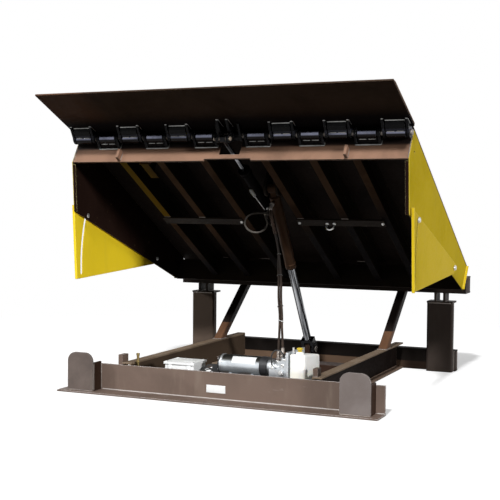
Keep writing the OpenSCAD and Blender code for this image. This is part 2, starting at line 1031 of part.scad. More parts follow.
// A tube swept along points, as one closed polyhedron.
module swept(points, r, sides, rings) {
    p = smooth(points, rings);
    n = len(p);
    verts = [for (i = [0 : n - 1]) let (t = tangent(p, i), s = unit(cross(t, [0, 1, 0.02])), w = cross(s, t))
        for (k = [0 : sides - 1]) p[i] + r * (s * cos(360 * k / sides) + w * sin(360 * k / sides))];
    sides_f = [for (i = [0 : n - 2]) for (k = [0 : sides - 1])
        [i * sides + k, i * sides + (k + 1) % sides, (i + 1) * sides + (k + 1) % sides, (i + 1) * sides + k]];
    caps_f = [[for (k = [sides - 1 : -1 : 0]) k], [for (k = [0 : sides - 1]) (n - 1) * sides + k]];
    polyhedron(points = verts, faces = concat(sides_f, caps_f));
}

module lift_hose() {
    color(black_paint)
        swept(lift_hose_pts, hose_r, 10, 44);
}

module lip_hose() {
    color(black_paint)
        swept(lip_hose_pts, hose_r, 10, 48);
}

front_sill();
keeper_plates();
keeper_gussets();
deck_stops();
side_channel_left();
side_channel_right();
rear_base_channel();
rear_post_left();
rear_post_right();
post_caps();
beam_lugs();
rear_hinge_beam();
rear_curb_angle();
brace_left();
brace_right();
rear_hinge_sockets();
rear_hinge_pin();
cylinder_foot();
power_unit_shelf();
pump_motor();
motor_end_bell();
hydraulic_pump();
valve_block();
reservoir();
filler_cap();
tank_breather();
control_box();
control_box_lid();
latch_pin();
deck_plate();
deck_header();
deck_rear_plate();
deck_beams();
beam_cross_bar();
deck_knuckles();
lip_hinge_pin();
side_panel_left();
side_panel_right();
guard_bolts();
rear_hinge_knuckles();
lift_bracket();
lip_ram_barrel();
lip_plate();
lip_knuckles();
lip_lever();
toe_guard_left();
toe_guard_right();
lift_barrel();
lift_rod();
lip_ram_rod();
lift_hose();
lip_hose();
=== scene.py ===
import bpy, bmesh, random
from math import copysign, cos, pi, radians, sin
from mathutils import Matrix, Vector


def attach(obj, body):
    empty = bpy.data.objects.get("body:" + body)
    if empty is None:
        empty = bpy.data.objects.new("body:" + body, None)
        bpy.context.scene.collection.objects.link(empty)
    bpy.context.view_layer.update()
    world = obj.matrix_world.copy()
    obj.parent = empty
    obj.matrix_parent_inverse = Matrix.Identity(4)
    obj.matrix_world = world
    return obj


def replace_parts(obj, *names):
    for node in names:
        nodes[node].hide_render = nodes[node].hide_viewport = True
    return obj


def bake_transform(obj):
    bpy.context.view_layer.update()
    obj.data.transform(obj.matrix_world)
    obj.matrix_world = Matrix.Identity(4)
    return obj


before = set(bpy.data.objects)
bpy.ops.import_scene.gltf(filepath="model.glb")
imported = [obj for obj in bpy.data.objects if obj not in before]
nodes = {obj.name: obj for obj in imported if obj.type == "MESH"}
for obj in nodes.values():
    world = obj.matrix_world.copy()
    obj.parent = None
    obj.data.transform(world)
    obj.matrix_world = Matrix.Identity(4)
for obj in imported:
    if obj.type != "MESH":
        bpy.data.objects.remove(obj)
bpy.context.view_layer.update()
scene = bpy.context.scene
scene.view_settings.view_transform = "Standard"
rng = random.Random(7)

# Places in the frame, in metres: the deck is raised by 30 degrees, the lip stands 5 degrees below its plane.
# F points forward along the deck or lip, N up from it; STRAP runs up the lip hinge's slanted straps.
DECK_A, LIP_A, LIFT_A = radians(30), radians(25), radians(32.419)
HINGE = Vector((0, 1.475, 0.58))
DECK_F = Vector((0, -cos(DECK_A), sin(DECK_A)))
DECK_N = Vector((0, sin(DECK_A), cos(DECK_A)))
LIP_F = Vector((0, -cos(LIP_A), sin(LIP_A)))
LIP_N = Vector((0, sin(LIP_A), cos(LIP_A)))
LIFT_DOWN = Vector((0, sin(LIFT_A), -cos(LIFT_A)))
LIFT_X, LIFT_LEN = 0.08, 1.08468
LIFT_TOP = Vector((LIFT_X, 0.55449, 1.04564))
LIP_HINGE = Vector((0, 0.2019, 1.2989))
X, UP, FRONT = Vector((1, 0, 0)), Vector((0, 0, 1)), Vector((0, -1, 0))
SIDES = (-1, 1)
STRAP = LIP_F * 0.659 + LIP_N * 0.752
DECK_0, DECK_TOP = DECK_F.dot(HINGE), DECK_N.dot(HINGE)
LIP_0, LIP_TOP, STRAP_0 = (v.dot(LIP_HINGE) for v in (LIP_F, LIP_N, STRAP))
PITCH, KNUCKLE = 0.14108, 0.12908
DECK_KNUCKLES, LIP_KNUCKLES = (-5, -3, -1, 1, 3, 5), (-6, -4, -2, 2, 4, 6)
HEADER_U, BAR_U, BEAM_X = 1.4285, 0.769, (0.168, 0.42, 0.641)
CHANNEL_X, CHANNEL_IN, POST_X = 0.514, 0.4895, 0.7645


def deck(x, u, w):
    """A point by its distance from the rear hinge along the deck, and its height over the deck's plane."""
    return HINGE + X * x + DECK_F * u + DECK_N * w


def lip(x, s, n):
    """A point by its distance from the lip hinge along the lip, and its height over the lip's plane."""
    return deck(x, 1.462, -0.014) + LIP_F * s + LIP_N * n


def ram(u):
    """A point on the lip cylinder's axis."""
    return deck(-0.013, u, -0.061)


def at(x, y, z):
    """A point of the frame."""
    return Vector((x, y, z))


def new_object(name, data):
    obj = bpy.data.objects.new(name, data)
    scene.collection.objects.link(obj)
    return obj


CAMERA_AT, CAMERA_TURN, CAMERA_LENS = (2.168, -4.485, 0.95), (-23.75, -2.4, 0.47), 74.6


def make_camera():
    """The photo's view, solved from the corners of the part."""
    data = bpy.data.cameras.new("camera")
    data.sensor_width, data.lens = 36.0, CAMERA_LENS
    cam = scene.camera = new_object("camera", data)
    yaw, pitch, roll = (radians(a) for a in CAMERA_TURN)
    turn = Matrix.Rotation(-yaw, 4, "Z") @ Matrix.Rotation(pi / 2 + pitch, 4, "X")
    cam.matrix_world = Matrix.Translation(CAMERA_AT) @ turn @ Matrix.Rotation(roll, 4, "Z")


make_camera()


# Materials

class Net:
    """A tree of shader nodes, with short calls for the ones used here. All colours are in thousandths."""

    def __init__(self, owner):
        owner.use_nodes = True
        self.tree = owner.node_tree

    def node(self, kind, inputs=(), **props):
        n = self.tree.nodes.new("ShaderNode" + kind)
        for k, v in props.items():
            setattr(n, k, v)
        self.fill(n, inputs)
        return n

    def fill(self, node, inputs):
        """Gives a node's inputs, by name or number, a value or a link."""
        for k, value in dict(inputs).items():
            socket = node.inputs[k]
            if isinstance(value, bpy.types.NodeSocket):
                self.tree.links.new(value, socket)
            elif hasattr(value, "__len__") and len(value) == 3 and len(socket.default_value) == 4:
                socket.default_value = (*(v / 1000 for v in value), 1)
            else:
                socket.default_value = value

    def math(self, op, a, b=0.0, clamp=False):
        return self.node("Math", {0: a, 1: b}, operation=op, use_clamp=clamp).outputs[0]

    def times(self, a, b, clamp=False):
        return self.math("MULTIPLY", a, b, clamp)

    def step(self, value, low, high, to_low=0.0, to_high=1.0):
        inputs = enumerate((value, low, high, to_low, to_high))
        return self.node("MapRange", inputs, interpolation_type="SMOOTHSTEP").outputs[0]

    def mix(self, fac, a, b):
        return self.node("Mix", {0: fac, 6: a, 7: b}, data_type="RGBA").outputs[2]

    def rays(self):
        """1 where the camera, a reflection or a clear surface looks, 0 for light that is scattered."""
        path = self.node("LightPath").outputs
        seen = self.math("MAXIMUM", path["Is Camera Ray"], path["Is Glossy Ray"])
        return self.math("MAXIMUM", seen, path["Is Transmission Ray"])


class Look(Net):
    """A material's nodes."""

    def __init__(self, name):
        self.mat = bpy.data.materials.new(name)
        super().__init__(self.mat)
        self.tree.nodes.clear()
        self.out = self.node("OutputMaterial")
        self.bsdf = self.node("BsdfPrincipled")
        self.fill(self.out, {0: self.bsdf.outputs[0]})
        self.coord = self.node("TexCoord").outputs["Object"]

    def noise(self, scale, detail=4, rough=0.55, stretch=(1, 1, 1), distort=0.0):
        place = self.node("Mapping", {"Vector": self.coord, "Scale": stretch}).outputs[0]
        return self.node("TexNoise", {"Vector": place, "Scale": scale, "Detail": detail, "Roughness": rough,
                                      "Distortion": distort}).outputs[0]

    def axis(self, i):
        return self.node("SeparateXYZ", {0: self.coord}).outputs[i]

    def along(self, direction, of=None):
        """How far a point, or another vector, lies in a direction."""
        inputs = {0: of or self.coord, 1: direction}
        return self.node("VectorMath", inputs, operation="DOT_PRODUCT").outputs["Value"]

    def band(self, direction, low, high):
        """0 before low, 1 after high, going in a direction."""
        return self.step(self.along(direction), low, high)

    def edge(self, radius):
        """A rounded normal, and how near the surface is to a sharp edge, 0 to 1."""
        normal = self.node("Bevel", {"Radius": radius}, samples=4).outputs[0]
        same = self.along(self.node("NewGeometry").outputs["Normal"], normal)
        return normal, self.times(self.math("SUBTRACT", 1.0, same), 3.4, clamp=True)

    def bump(self, height, strength, distance, normal=None):
        n = self.node("Bump", {"Strength": strength, "Distance": distance, "Height": height})
        if normal is not None:
            self.fill(n, {"Normal": normal})
        self.fill(self.bsdf, {"Normal": n.outputs[0]})

    def finish(self, colour, rough, metallic=0.0, spec=0.5):
        self.fill(self.bsdf, {"Base Color": colour, "Roughness": rough, "Metallic": metallic,
                              "Specular IOR Level": spec})
        return self.mat


def paint(name, base, dark, worn, rough=0.5, spec=0.35, wear=0.6, dust=(300, 250, 200), dusty=0.25,
          edge=0.004, scale=3.0, inside=None, split=None, left=None, fade=None):
    """Brushed or sprayed paint: cloudy colour, runs and dust, fine scratches, worn edges, slight orange peel.
    With inside, what lies below split = (direction, level) has that colour; "width" goes from the middle out.
    left = (x, colour) gives it another one at the left end, or only past the band that is its third item, and
    fade = (band, colour) another one before the band. A band is (direction, low, high)."""
    n = Look(name)
    cloud = n.noise(scale, 5, 0.6, distort=0.4)
    fine = n.noise(scale * 22, 4, 0.6)
    runs = n.noise(scale * 3, 4, 0.65, (1, 1, 0.15))
    scratch = n.noise(scale * 14, 3, 0.5, (0.12, 1, 1), 0.3)
    peel = n.noise(420, 2, 0.4)
    colour = n.mix(n.step(cloud, 0.38, 0.66), base, dark)
    colour = n.mix(n.times(n.step(runs, 0.52, 0.72), dusty), colour, dust)
    # The colours below are used here for painted light and shade: shaded and lit sides, painted shadow lines,
    # highlight bands and reflections. The side panels' inner colour is partly their real inside paint.
    if inside is not None:
        direction, level = split
        along = n.math("ABSOLUTE", n.axis(0)) if direction == "width" else n.along(direction)
        side = n.step(along, level - 0.0003, level + 0.0003)
        below = n.mix(n.step(cloud, 0.4, 0.7), inside, tuple(c * 0.6 for c in inside))
        if left is not None:
            part = n.step(n.axis(0), left[0] - 0.08, left[0] + 0.08, 1.0, 0.0)
            if len(left) > 2:
                part = n.times(part, n.band(*left[2]))
            below = n.mix(part, below, left[1])
        if fade is not None:
            below = n.mix(n.band(*fade[0]), fade[1], below)
        colour = n.mix(side, below, colour)
    marks = n.times(n.step(scratch, 0.66, 0.74), n.step(fine, 0.45, 0.6))
    normal, near = n.edge(edge)
    chips = n.step(n.math("ADD", near, n.times(n.math("SUBTRACT", fine, 0.5), 1.1)), 0.35, 0.62)
    bare = n.times(n.math("MAXIMUM", chips, n.times(marks, 0.15)), wear)
    colour = n.mix(bare, colour, worn)
    shine = n.step(n.math("ADD", n.times(fine, 0.6), n.times(cloud, 0.4)), 0.25, 0.75,
                   max(rough - 0.12, 0.05), min(rough + 0.16, 1.0))
    n.bump(n.math("ADD", n.times(peel, 0.5), n.times(bare, -0.7)), 0.22, 0.0006, normal)
    return n.finish(colour, shine, 0.0, spec)


def metal(name, base, dark, rough=0.3, brushed=(1, 1, 1), metallic=1.0, shade=None, highlight_facing=None):
    """Bare or plated metal with fine machining lines, blotches and a little staining.
    With shade = (low, high, colour), it goes over to that colour between those two heights.
    With a facing direction, only the faces that look that way keep the colour, as a painted highlight, and
    the rest is black."""
    n = Look(name)
    cloud = n.noise(9, 5, 0.6, distort=0.5)
    lines = n.noise(300, 3, 0.6, brushed)
    spots = n.noise(46, 4, 0.7)
    colour = n.mix(n.step(cloud, 0.35, 0.68), base, dark)
    colour = n.mix(n.times(n.step(spots, 0.58, 0.76), 0.3), colour, (280, 200, 130))
    if shade is not None:
        colour = n.mix(n.step(n.axis(2), shade[0], shade[1]), colour, shade[2])
    # Painted highlight: faces turned towards the given direction keep the colour, all others turn black.
    if highlight_facing is not None:
        facing = n.along(highlight_facing, n.node("TexCoord").outputs["Normal"])
        colour = n.mix(n.step(facing, 0.91, 0.99), (10, 9, 9), colour)
    normal, near = n.edge(0.0015)
    colour = n.mix(n.times(near, 0.4), colour, tuple(min(c * 1.35, 950) for c in base))
    shine = n.step(n.math("ADD", n.times(lines, 0.5), n.times(spots, 0.5)), 0.3, 0.7,
                   max(rough - 0.1, 0.05), rough + 0.15)
    n.bump(lines, 0.12, 0.0003, normal)
    return n.finish(colour, shine, metallic, 0.5)


def chrome(name):
    """Ground chrome with light and dark stripes along the rod as painted reflections, and near-black
    painted shade at the lip rod's eye and at the lift rod's fork."""
    n = Look(name)
    reflection_streaks = n.noise(1.0, 3, 0.6, (150, 3, 3))
    spots = n.noise(60, 4, 0.7)
    colour = n.mix(n.step(reflection_streaks, 0.34, 0.6), (400, 410, 430), (35, 36, 40))
    colour = n.mix(n.times(n.step(spots, 0.56, 0.75), 0.35), colour, (120, 100, 80))
    # Painted shade: near-black at the lip rod's eye and at the lift rod's fork.
    eye, fork, painted_shade = DECK_0 + 1.375, LIFT_DOWN.dot(LIFT_TOP) + LIFT_LEN - 0.078, (12, 12, 13)
    colour = n.mix(n.band(DECK_F, eye, eye + 0.02), colour, painted_shade)
    colour = n.mix(n.band(LIFT_DOWN, fork, fork + 0.004), colour, painted_shade)
    n.bump(spots, 0.08, 0.0003)
    return n.finish(colour, n.step(spots, 0.3, 0.7, 0.14, 0.32), 1.0, 0.5)


def plastic(name, base, tint, rough=0.4, low=None, sss=0.0):
    """Moulded plastic with a faint grain, hand marks and dust, and a tank's oil line where low is given."""
    n = Look(name)
    cloud = n.noise(7, 5, 0.6, distort=0.3)
    grain = n.noise(520, 2, 0.5)
    smear = n.noise(26, 4, 0.65, (1, 1, 0.25))
    colour = n.mix(n.step(cloud, 0.38, 0.68), base, tint)
    if low is not None:
        level = n.math("ADD", n.axis(2), n.times(n.math("SUBTRACT", cloud, 0.5), 0.01))
        colour = n.mix(n.step(level, 0.15, 0.166, 1.0, 0.0), colour, low)
    colour = n.mix(n.times(n.step(smear, 0.55, 0.75), 0.22), colour, tuple(c * 0.62 for c in tint))
    n.bump(grain, 0.15, 0.0004, n.edge(0.002)[0])
    n.fill(n.bsdf, {"Subsurface Weight": sss, "Subsurface Radius": (0.01, 0.008, 0.006)})
    return n.finish(colour, n.step(smear, 0.3, 0.7, rough - 0.08, rough + 0.15), 0.0, 0.4)


def rubber(name, base, worn, shade_above=None):
    """Hose cover: fine cloth wrap marks and worn patches, turning black above a given height as painted
    shade.
    """
    n = Look(name)
    wrap = n.noise(700, 2, 0.5, (1, 1, 0.35))
    patch = n.noise(18, 4, 0.6)
    colour = n.mix(n.times(n.step(patch, 0.5, 0.72), 0.6), base, worn)
    # Painted shade: black above the given height, where the hoses run under the deck.
    if shade_above is not None:
        colour = n.mix(n.step(n.axis(2), shade_above - 0.09, shade_above + 0.09), colour, (10, 8, 7))
    n.bump(wrap, 0.4, 0.0006)
    return n.finish(colour, n.step(patch, 0.3, 0.7, 0.5, 0.75), 0.0, 0.06)


# Black hinge paint; extra arguments add a bluish band as a painted sheen.
def hinge_black(name, **painted_sheen):
    return paint(name, (6, 6, 7), (4, 4, 5), (150, 150, 160), 0.26, 0.06, 0.6,
                 dust=(20, 18, 16), dusty=0.2, edge=0.003, **painted_sheen)


# The photo shows deep shadow under the deck, so hidden and inner faces are painted darker than outer ones.
M = {
    "frame": paint("frame_brown", (150, 106, 85), (118, 83, 66), (620, 600, 590), 0.46, 0.25, 0.75,
                   edge=0.005),
    # Deck stops: frame brown, with the right stop's outward face near-black as painted shade.
    "stop": paint("stop_brown", (30, 18, 13), (23, 14, 10), (300, 270, 250), 0.46, 0.04, dust=(50, 35, 26),
                  inside=(150, 106, 85), split=(X, 0.5135)),
    # Side channels: brown top flange; webs near-black as painted shade, the left web less dark as painted
    # light, and the bottom flange brown again as painted light.
    "channel": paint("channel_brown", (190, 138, 94), (150, 108, 74), (360, 310, 270), 0.55, 0.008,
                     inside=(10, 7, 6), split=(UP, 0.1425), left=(0.0, (56, 38, 26)),
                     fade=((UP, 0.012, 0.0135), (135, 92, 68))),
    # Braces: near-black above 0.243 m as a painted shadow cast by the deck's header, brown below.
    "brace": paint("brace_brown", (16, 12, 10), (12, 9, 8), (100, 75, 60), 0.5, 0.05, dust=(30, 22, 16),
                   inside=(135, 68, 38), split=(UP, 0.243)),
    # Rear base channel: near-black above 0.046 m as a painted shadow, and a lit brown strip below it as
    # painted light, dim at the right end as painted shade.
    "base": paint("base_brown", (10, 8, 7), (8, 6, 5), (50, 40, 30), 0.55, 0.02, dust=(16, 12, 10),
                  inside=(24, 15, 11), split=(UP, 0.046), left=(0.5, (120, 76, 50))),
    # Gussets, cylinder foot, spring guard and beam end plates: frame brown darkened to near-black as painted
    # shade.
    "gusset": paint("gusset_brown", (34, 18, 12), (26, 14, 9), (140, 100, 80), 0.5, 0.06, dust=(50, 35, 26)),
    # Rear posts and hinge beam parts: dark brown as painted shade; the left post has a lighter, lit copy as
    # painted light.
    "rear": paint("rear_brown", (42, 32, 27), (32, 24, 20), (110, 95, 90), 0.45, 0.045, dust=(60, 48, 40)),
    "rear_left": paint("left_post_lit_brown", (110, 80, 62), (84, 61, 47), (130, 110, 100), 0.45, 0.045,
                       dust=(90, 70, 55)),
    # Keeper plates: the left one darker than the right as painted shade.
    "keeper": paint("keeper_brown", (176, 150, 141), (132, 108, 99), (380, 350, 330), 0.46, 0.3,
                    inside=(128, 99, 86), split=(X, 0.0)),
    "deck": paint("deck_brown", (235, 134, 88), (180, 103, 67), (400, 310, 250), 0.5, 0.12),
    # Deck header: brown, with its top under the hinge near-black as a painted shadow of the hinge and lip.
    "header": paint("header_brown", (10, 8, 7), (8, 6, 5), (400, 310, 250), 0.5, 0.12, inside=(250, 143, 94),
                    split=(DECK_N, DECK_TOP + 0.05),
                    fade=((-DECK_N, 0.05 - DECK_TOP, 0.068 - DECK_TOP), (12, 8, 7))),
    # Deck plate: brown on top, near-black underside as painted shade.
    "plate": paint("deck_plate_brown", (190, 122, 84), (140, 88, 60), (320, 270, 230), 0.65, 0.04,
                   inside=(14, 9, 7), split=(DECK_N, DECK_TOP + 0.026)),
    # Parts under the deck's rear, the hinge pin among them: near-black brown as painted shade.
    "under": paint("under_brown", (30, 22, 17), (20, 15, 12), (120, 90, 70), 0.6, 0.05, 0.4,
                   dust=(50, 35, 25), dusty=0.12),
    # Deck beams: near-black webs as painted shade, brown flange bottoms as painted light, a golden front of
    # the left flange as a painted reflection of the yellow guard, and near-black towards the rear and right
    # as a painted shadow.
    "beams": paint("beam_brown", (12, 9, 7), (9, 7, 5), (140, 100, 70), 0.65, 0.02, 0.45, dust=(30, 22, 16),
                   dusty=0.12, inside=(125, 72, 44), split=(DECK_N, DECK_TOP - 0.1045),
                   left=(-0.53, (300, 200, 35), (DECK_F, DECK_0 + 0.7, DECK_0 + 0.82)),
                   fade=((DECK_F - X * 0.45, DECK_0 + 0.48, DECK_0 + 0.95), (4, 3, 3))),
    # Lip: brown tread face; underside darker as painted shade, lighter at its left end as a painted
    # reflection, and near-black close to the hinge as a painted shadow.
    "lip": paint("lip_brown", (190, 122, 84), (140, 88, 60), (240, 190, 160), 0.6, 0.02, 0.6, dusty=0.15,
                 inside=(58, 35, 23), split=(LIP_N, LIP_TOP + 0.039), left=(-0.66, (105, 52, 30)),
                 fade=((LIP_F, LIP_0 + 0.09, LIP_0 + 0.23), (3, 2, 2))),
    # Toe guards: one yellow paint as a bright, lit copy on the left guard and a darker, shaded copy on the
    # right guard, as painted light and shade.
    "yellow": paint("guard_yellow", (950, 690, 22), (900, 650, 20), (920, 800, 340), 0.5, 0.12, 0.5,
                    dust=(620, 460, 60), dusty=0.15),
    "yellow_right": paint("guard_yellow_right", (660, 475, 16), (600, 430, 14), (860, 740, 300), 0.5, 0.03,
                          0.5, dust=(500, 380, 60), dusty=0.2),
    # Side panels: the same yellow darker still as painted shade; inner faces near-black, the deck's brown
    # inside darkened as painted shade.
    "panel": paint("panel_yellow", (570, 415, 14), (510, 370, 12), (840, 740, 340), 0.55, 0.012, 0.45,
                   dust=(500, 380, 60), dusty=0.25, inside=(16, 8, 6), split=("width", 0.9115)),
    "black": hinge_black("hinge_black"),
    # Lip hinge straps: black, with a bluish band across their lower part as a painted sheen.
    "lip_black": hinge_black("lip_hinge_black", inside=(56, 58, 78), split=(STRAP, STRAP_0 + 0.024),
                             fade=((STRAP, STRAP_0 - 0.002, STRAP_0 + 0.01), (6, 6, 7))),
    "barrel": paint("cylinder_brown", (86, 44, 25), (56, 29, 16), (170, 110, 70), 0.45, 0.05, 0.5,
                    dust=(120, 70, 40), dusty=0.3, edge=0.003),
    "ram": paint("ram_black", (7, 6, 6), (5, 4, 4), (80, 70, 65), 0.4, 0.006, 0.5, dust=(30, 26, 22),
                 dusty=0.2, edge=0.003),
    "zinc": metal("zinc_steel", (660, 660, 650), (480, 480, 470), 0.34),
    "chrome": chrome("chrome_rod"),
    "weld": metal("weld_bead", (220, 190, 170), (120, 100, 90), 0.42, metallic=0.6),
    "weld_black": metal("weld_black", (300, 300, 290), (160, 160, 155), 0.34, metallic=0.9),
    # Hinge barrels: a bluish band on the faces turned to the front as a painted highlight, black elsewhere.
    "sleeve": metal("hinge_barrel", (165, 172, 230), (72, 76, 100), 0.24, (0.1, 1, 1),
                    highlight_facing=(0, -0.996, 0.09)),
    # Sill fillet: a pale, glossy line along the sill's foot as a painted highlight.
    "fillet_highlight": paint("sill_fillet_highlight", (420, 390, 370), (300, 270, 250), (620, 600, 580), 0.35, 0.4, 0.5,
                    edge=0.001, scale=9.0),
    "alloy": metal("cast_alloy", (580, 600, 620), (440, 460, 480), 0.38, metallic=0.85),
    # Motor: silver below, turning dark over its top as a painted dark reflection.
    "motor": metal("motor_silver", (600, 640, 670), (500, 530, 560), 0.34, metallic=0.7,
                   shade=(0.174, 0.2, (35, 34, 30))),
    "steel": metal("dull_steel", (260, 230, 210), (170, 150, 130), 0.42, metallic=0.7),
    "brass": metal("brass", (240, 180, 75), (140, 100, 45), 0.42),
    # Lip pin bushes: brass made pale and bright as painted light.
    "bush": metal("bush_brass", (780, 660, 540), (580, 470, 370), 0.36, metallic=0.5),
    "white": plastic("box_white", (800, 810, 810), (700, 710, 700), 0.42),
    "tank": plastic("tank_white", (840, 840, 820), (760, 760, 720), 0.4, (800, 780, 700), 0.15),
    "label": plastic("label_white", (780, 790, 790), (680, 690, 680), 0.3),
    "cap": plastic("cap_yellow", (740, 550, 45), (600, 430, 40), 0.36),
    "blackplastic": plastic("black_plastic", (18, 18, 20), (28, 27, 26), 0.42),
    # Hose rubber: black above 0.57 m as painted shade under the deck.
    "rubber": rubber("hose_rubber", (34, 24, 19), (92, 66, 51), 0.57),
    "pale_hose": rubber("pale_hose", (150, 135, 120), (250, 225, 200)),
}

NODE_MATS = {
    "frame": "front_sill power_unit_shelf",
    "stop": "deck_stops",
    "channel": "side_channel_left side_channel_right",
    "brace": "brace_left brace_right",
    "base": "rear_base_channel",
    "gusset": "keeper_gussets cylinder_foot",
    "rear_left": "rear_post_left",
    "rear": "rear_post_right post_caps beam_lugs rear_hinge_beam rear_curb_angle rear_hinge_sockets",
    "keeper": "keeper_plates",
    "header": "deck_header",
    "plate": "deck_plate",
    "under": "deck_rear_plate beam_cross_bar lift_bracket rear_hinge_knuckles rear_hinge_pin",
    "beams": "deck_beams",
    "lip": "lip_plate",
    "panel": "side_panel_left side_panel_right",
    "yellow": "toe_guard_left",
    "yellow_right": "toe_guard_right",
    "black": "deck_knuckles lip_lever",
    "lip_black": "lip_knuckles",
    "barrel": "lift_barrel",
    "ram": "lip_ram_barrel",
    "zinc": "guard_bolts tank_breather",
    "steel": "lip_hinge_pin",
    "chrome": "lift_rod lip_ram_rod",
    "alloy": "hydraulic_pump valve_block",
    "motor": "pump_motor",
    "blackplastic": "motor_end_bell",
    "tank": "reservoir",
    "cap": "filler_cap",
    "white": "control_box control_box_lid",
    "brass": "latch_pin",
    "rubber": "lift_hose lip_hose",
}
for key, names in NODE_MATS.items():
    for name in names.split():
        slots = nodes[name].data.materials
        slots.clear()
        slots.append(M[key])


# Shapes

def circle(centre, radius, side, up, sides, turn=0.0):
    angles = [2 * pi * k / sides + turn for k in range(sides)]
    return [centre + radius * (side * cos(a) + up * sin(a)) for a in angles]


class Shape:
    """Collects vertices and faces, and makes one named piece of them."""

    def __init__(self):
        self.v, self.f = [], []

    def add(self, verts, faces):
        o = len(self.v)
        self.v += [tuple(p) for p in verts]
        self.f += [tuple(i + o for i in f) for f in faces]

    def skin(self, loops):
        """A closed form over loops of points, with a flat cap at each end."""
        n, last = len(loops[0]), len(loops) - 1
        faces = [(i * n + k, i * n + (k + 1) % n, (i + 1) * n + (k + 1) % n, (i + 1) * n + k)
                 for i in range(last) for k in range(n)]
        faces += [tuple(range(n - 1, -1, -1)), tuple(last * n + k for k in range(n))]
        self.add([p for loop in loops for p in loop], faces)

    def tube(self, pts, radius, sides=12, squash=None):
        """A closed tube along points, with one radius or one for each point."""
        pts = [Vector(p) for p in pts]
        radii = radius if hasattr(radius, "__len__") else [radius] * len(pts)
        side = (pts[1] - pts[0]).normalized().orthogonal().normalized() if squash is None else squash
        loops = []
        for i, p in enumerate(pts):
            t = (pts[min(i + 1, len(pts) - 1)] - pts[max(i - 1, 0)]).normalized()
            side = (side - t * side.dot(t)).normalized()
            loops.append(circle(p, radii[i], side, t.cross(side), sides))
        self.skin(loops)

    def lathe(self, base, axis, profile, sides=28, turn=0.0):
        """A turned form: profile gives (radius, height along the axis)."""
        axis = Vector(axis).normalized()
        side = axis.orthogonal().normalized()
        self.skin([circle(Vector(base) + axis * t, max(r, 1e-5), side, axis.cross(side), sides, turn)
                   for r, t in profile])

    def hexagon(self, base, axis, r, h):
        """A hexagon head or nut with its corners turned off."""
        self.lathe(base, axis, [(r * 0.9, 0), (r, h * 0.12), (r, h * 0.82), (r * 0.86, h)], 6, rng.random())

    def ring(self, base, axis, r, h):
        """A washer or collar with rounded edges."""
        self.lathe(base, axis, [(r - h * 0.3, 0), (r, h * 0.3), (r, h * 0.7), (r - h * 0.3, h)])

    def box(self, centre, size, axes=None, bevel=0.0015, parts=2):
        """A block with rounded edges."""
        bm = bmesh.new()
        bmesh.ops.create_cube(bm, size=1.0)
        bmesh.ops.scale(bm, vec=size, verts=bm.verts)
        bmesh.ops.bevel(bm, geom=bm.edges[:], offset=min(bevel, 0.45 * min(size)), segments=parts,
                        affect="EDGES", profile=0.6)
        bm.verts.index_update()
        ax = axes or (X, Vector((0, 1, 0)), UP)
        verts = [Vector(centre) + ax[0] * v.co.x + ax[1] * v.co.y + ax[2] * v.co.z for v in bm.verts]
        self.add(verts, [tuple(v.index for v in f.verts) for f in bm.faces])
        bm.free()

    def bead(self, p, q, r):
        """A weld bead with ripples, half sunk in the corner that it fills."""
        p, q = Vector(p), Vector(q)
        n = max(4, int((q - p).length / (r * 0.55)))
        pts, radii = [], []
        for i in range(n + 1):
            wobble = Vector((rng.uniform(-1, 1), rng.uniform(-1, 1), rng.uniform(-1, 1))) * r * 0.08
            pts.append(p.lerp(q, i / n) + (wobble if 0 < i < n else Vector()))
            radii.append(r * (0.45 if i in (0, n) else (1.0 if i % 2 else 0.82) * rng.uniform(0.92, 1.05)))
        self.tube(pts, radii, 8)

    def across(self, place, x, reach, level, r):
        """A bead along the width, to both sides of x."""
        self.bead(place(x - reach, *level), place(x + reach, *level), r)

    def upright(self, place, x, start, end, r):
        """A bead in the plane at x."""
        self.bead(place(x, *start), place(x, *end), r)

    def object(self, name, mat, angle=38):
        mesh = bpy.data.meshes.new(name)
        mesh.from_pydata(self.v, [], self.f)
        bm = bmesh.new()
        bm.from_mesh(mesh)
        bmesh.ops.recalc_face_normals(bm, faces=bm.faces)
        bm.to_mesh(mesh)
        bm.free()
        mesh.shade_smooth()
        mesh.set_sharp_from_angle(angle=radians(angle))
        mesh.materials.append(M[mat])
        return new_object(name, mesh)

    def piece(self, name, body, slot, mat, angle=38):
        obj = self.object(name, mat, angle)
        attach(obj, body)
        return obj


# Hoses: the same routes as the CAD tubes, from the cylinders down to the power unit.

def smooth(points, n):
    """Points on the Catmull-Rom curve through a route in millimetres."""
    p, out = [Vector(q) / 1000 for q in points], []
    for k in range(n + 1):
        t = k * (len(p) - 1) / n
        i = min(int(t), len(p) - 2)
        f = t - i
        a, b, c, d = p[max(i - 1, 0)], p[i], p[i + 1], p[min(i + 2, len(p) - 1)]
        square, cube = 2 * a - 5 * b + 4 * c - d, 3 * b - a - 3 * c + d
        out.append(0.5 * (2 * b + (c - a) * f + square * f * f + cube * f ** 3))
    return out


def length(pts):
    return sum((b - a).length for a, b in zip(pts, pts[1:]))


def part_of(pts, start, end, n):
    """n points of a route, from one distance along it to another."""
    out, total = [], [0.0]
    for a, b in zip(pts, pts[1:]):
        total.append(total[-1] + (b - a).length)
    for k in range(n):
        s = start + (end - start) * k / (n - 1)
        i = max(j for j in range(len(total) - 1) if total[j] <= s + 1e-9)
        out.append(pts[i].lerp(pts[i + 1], (s - total[i]) / (total[i + 1] - total[i])))
    return out


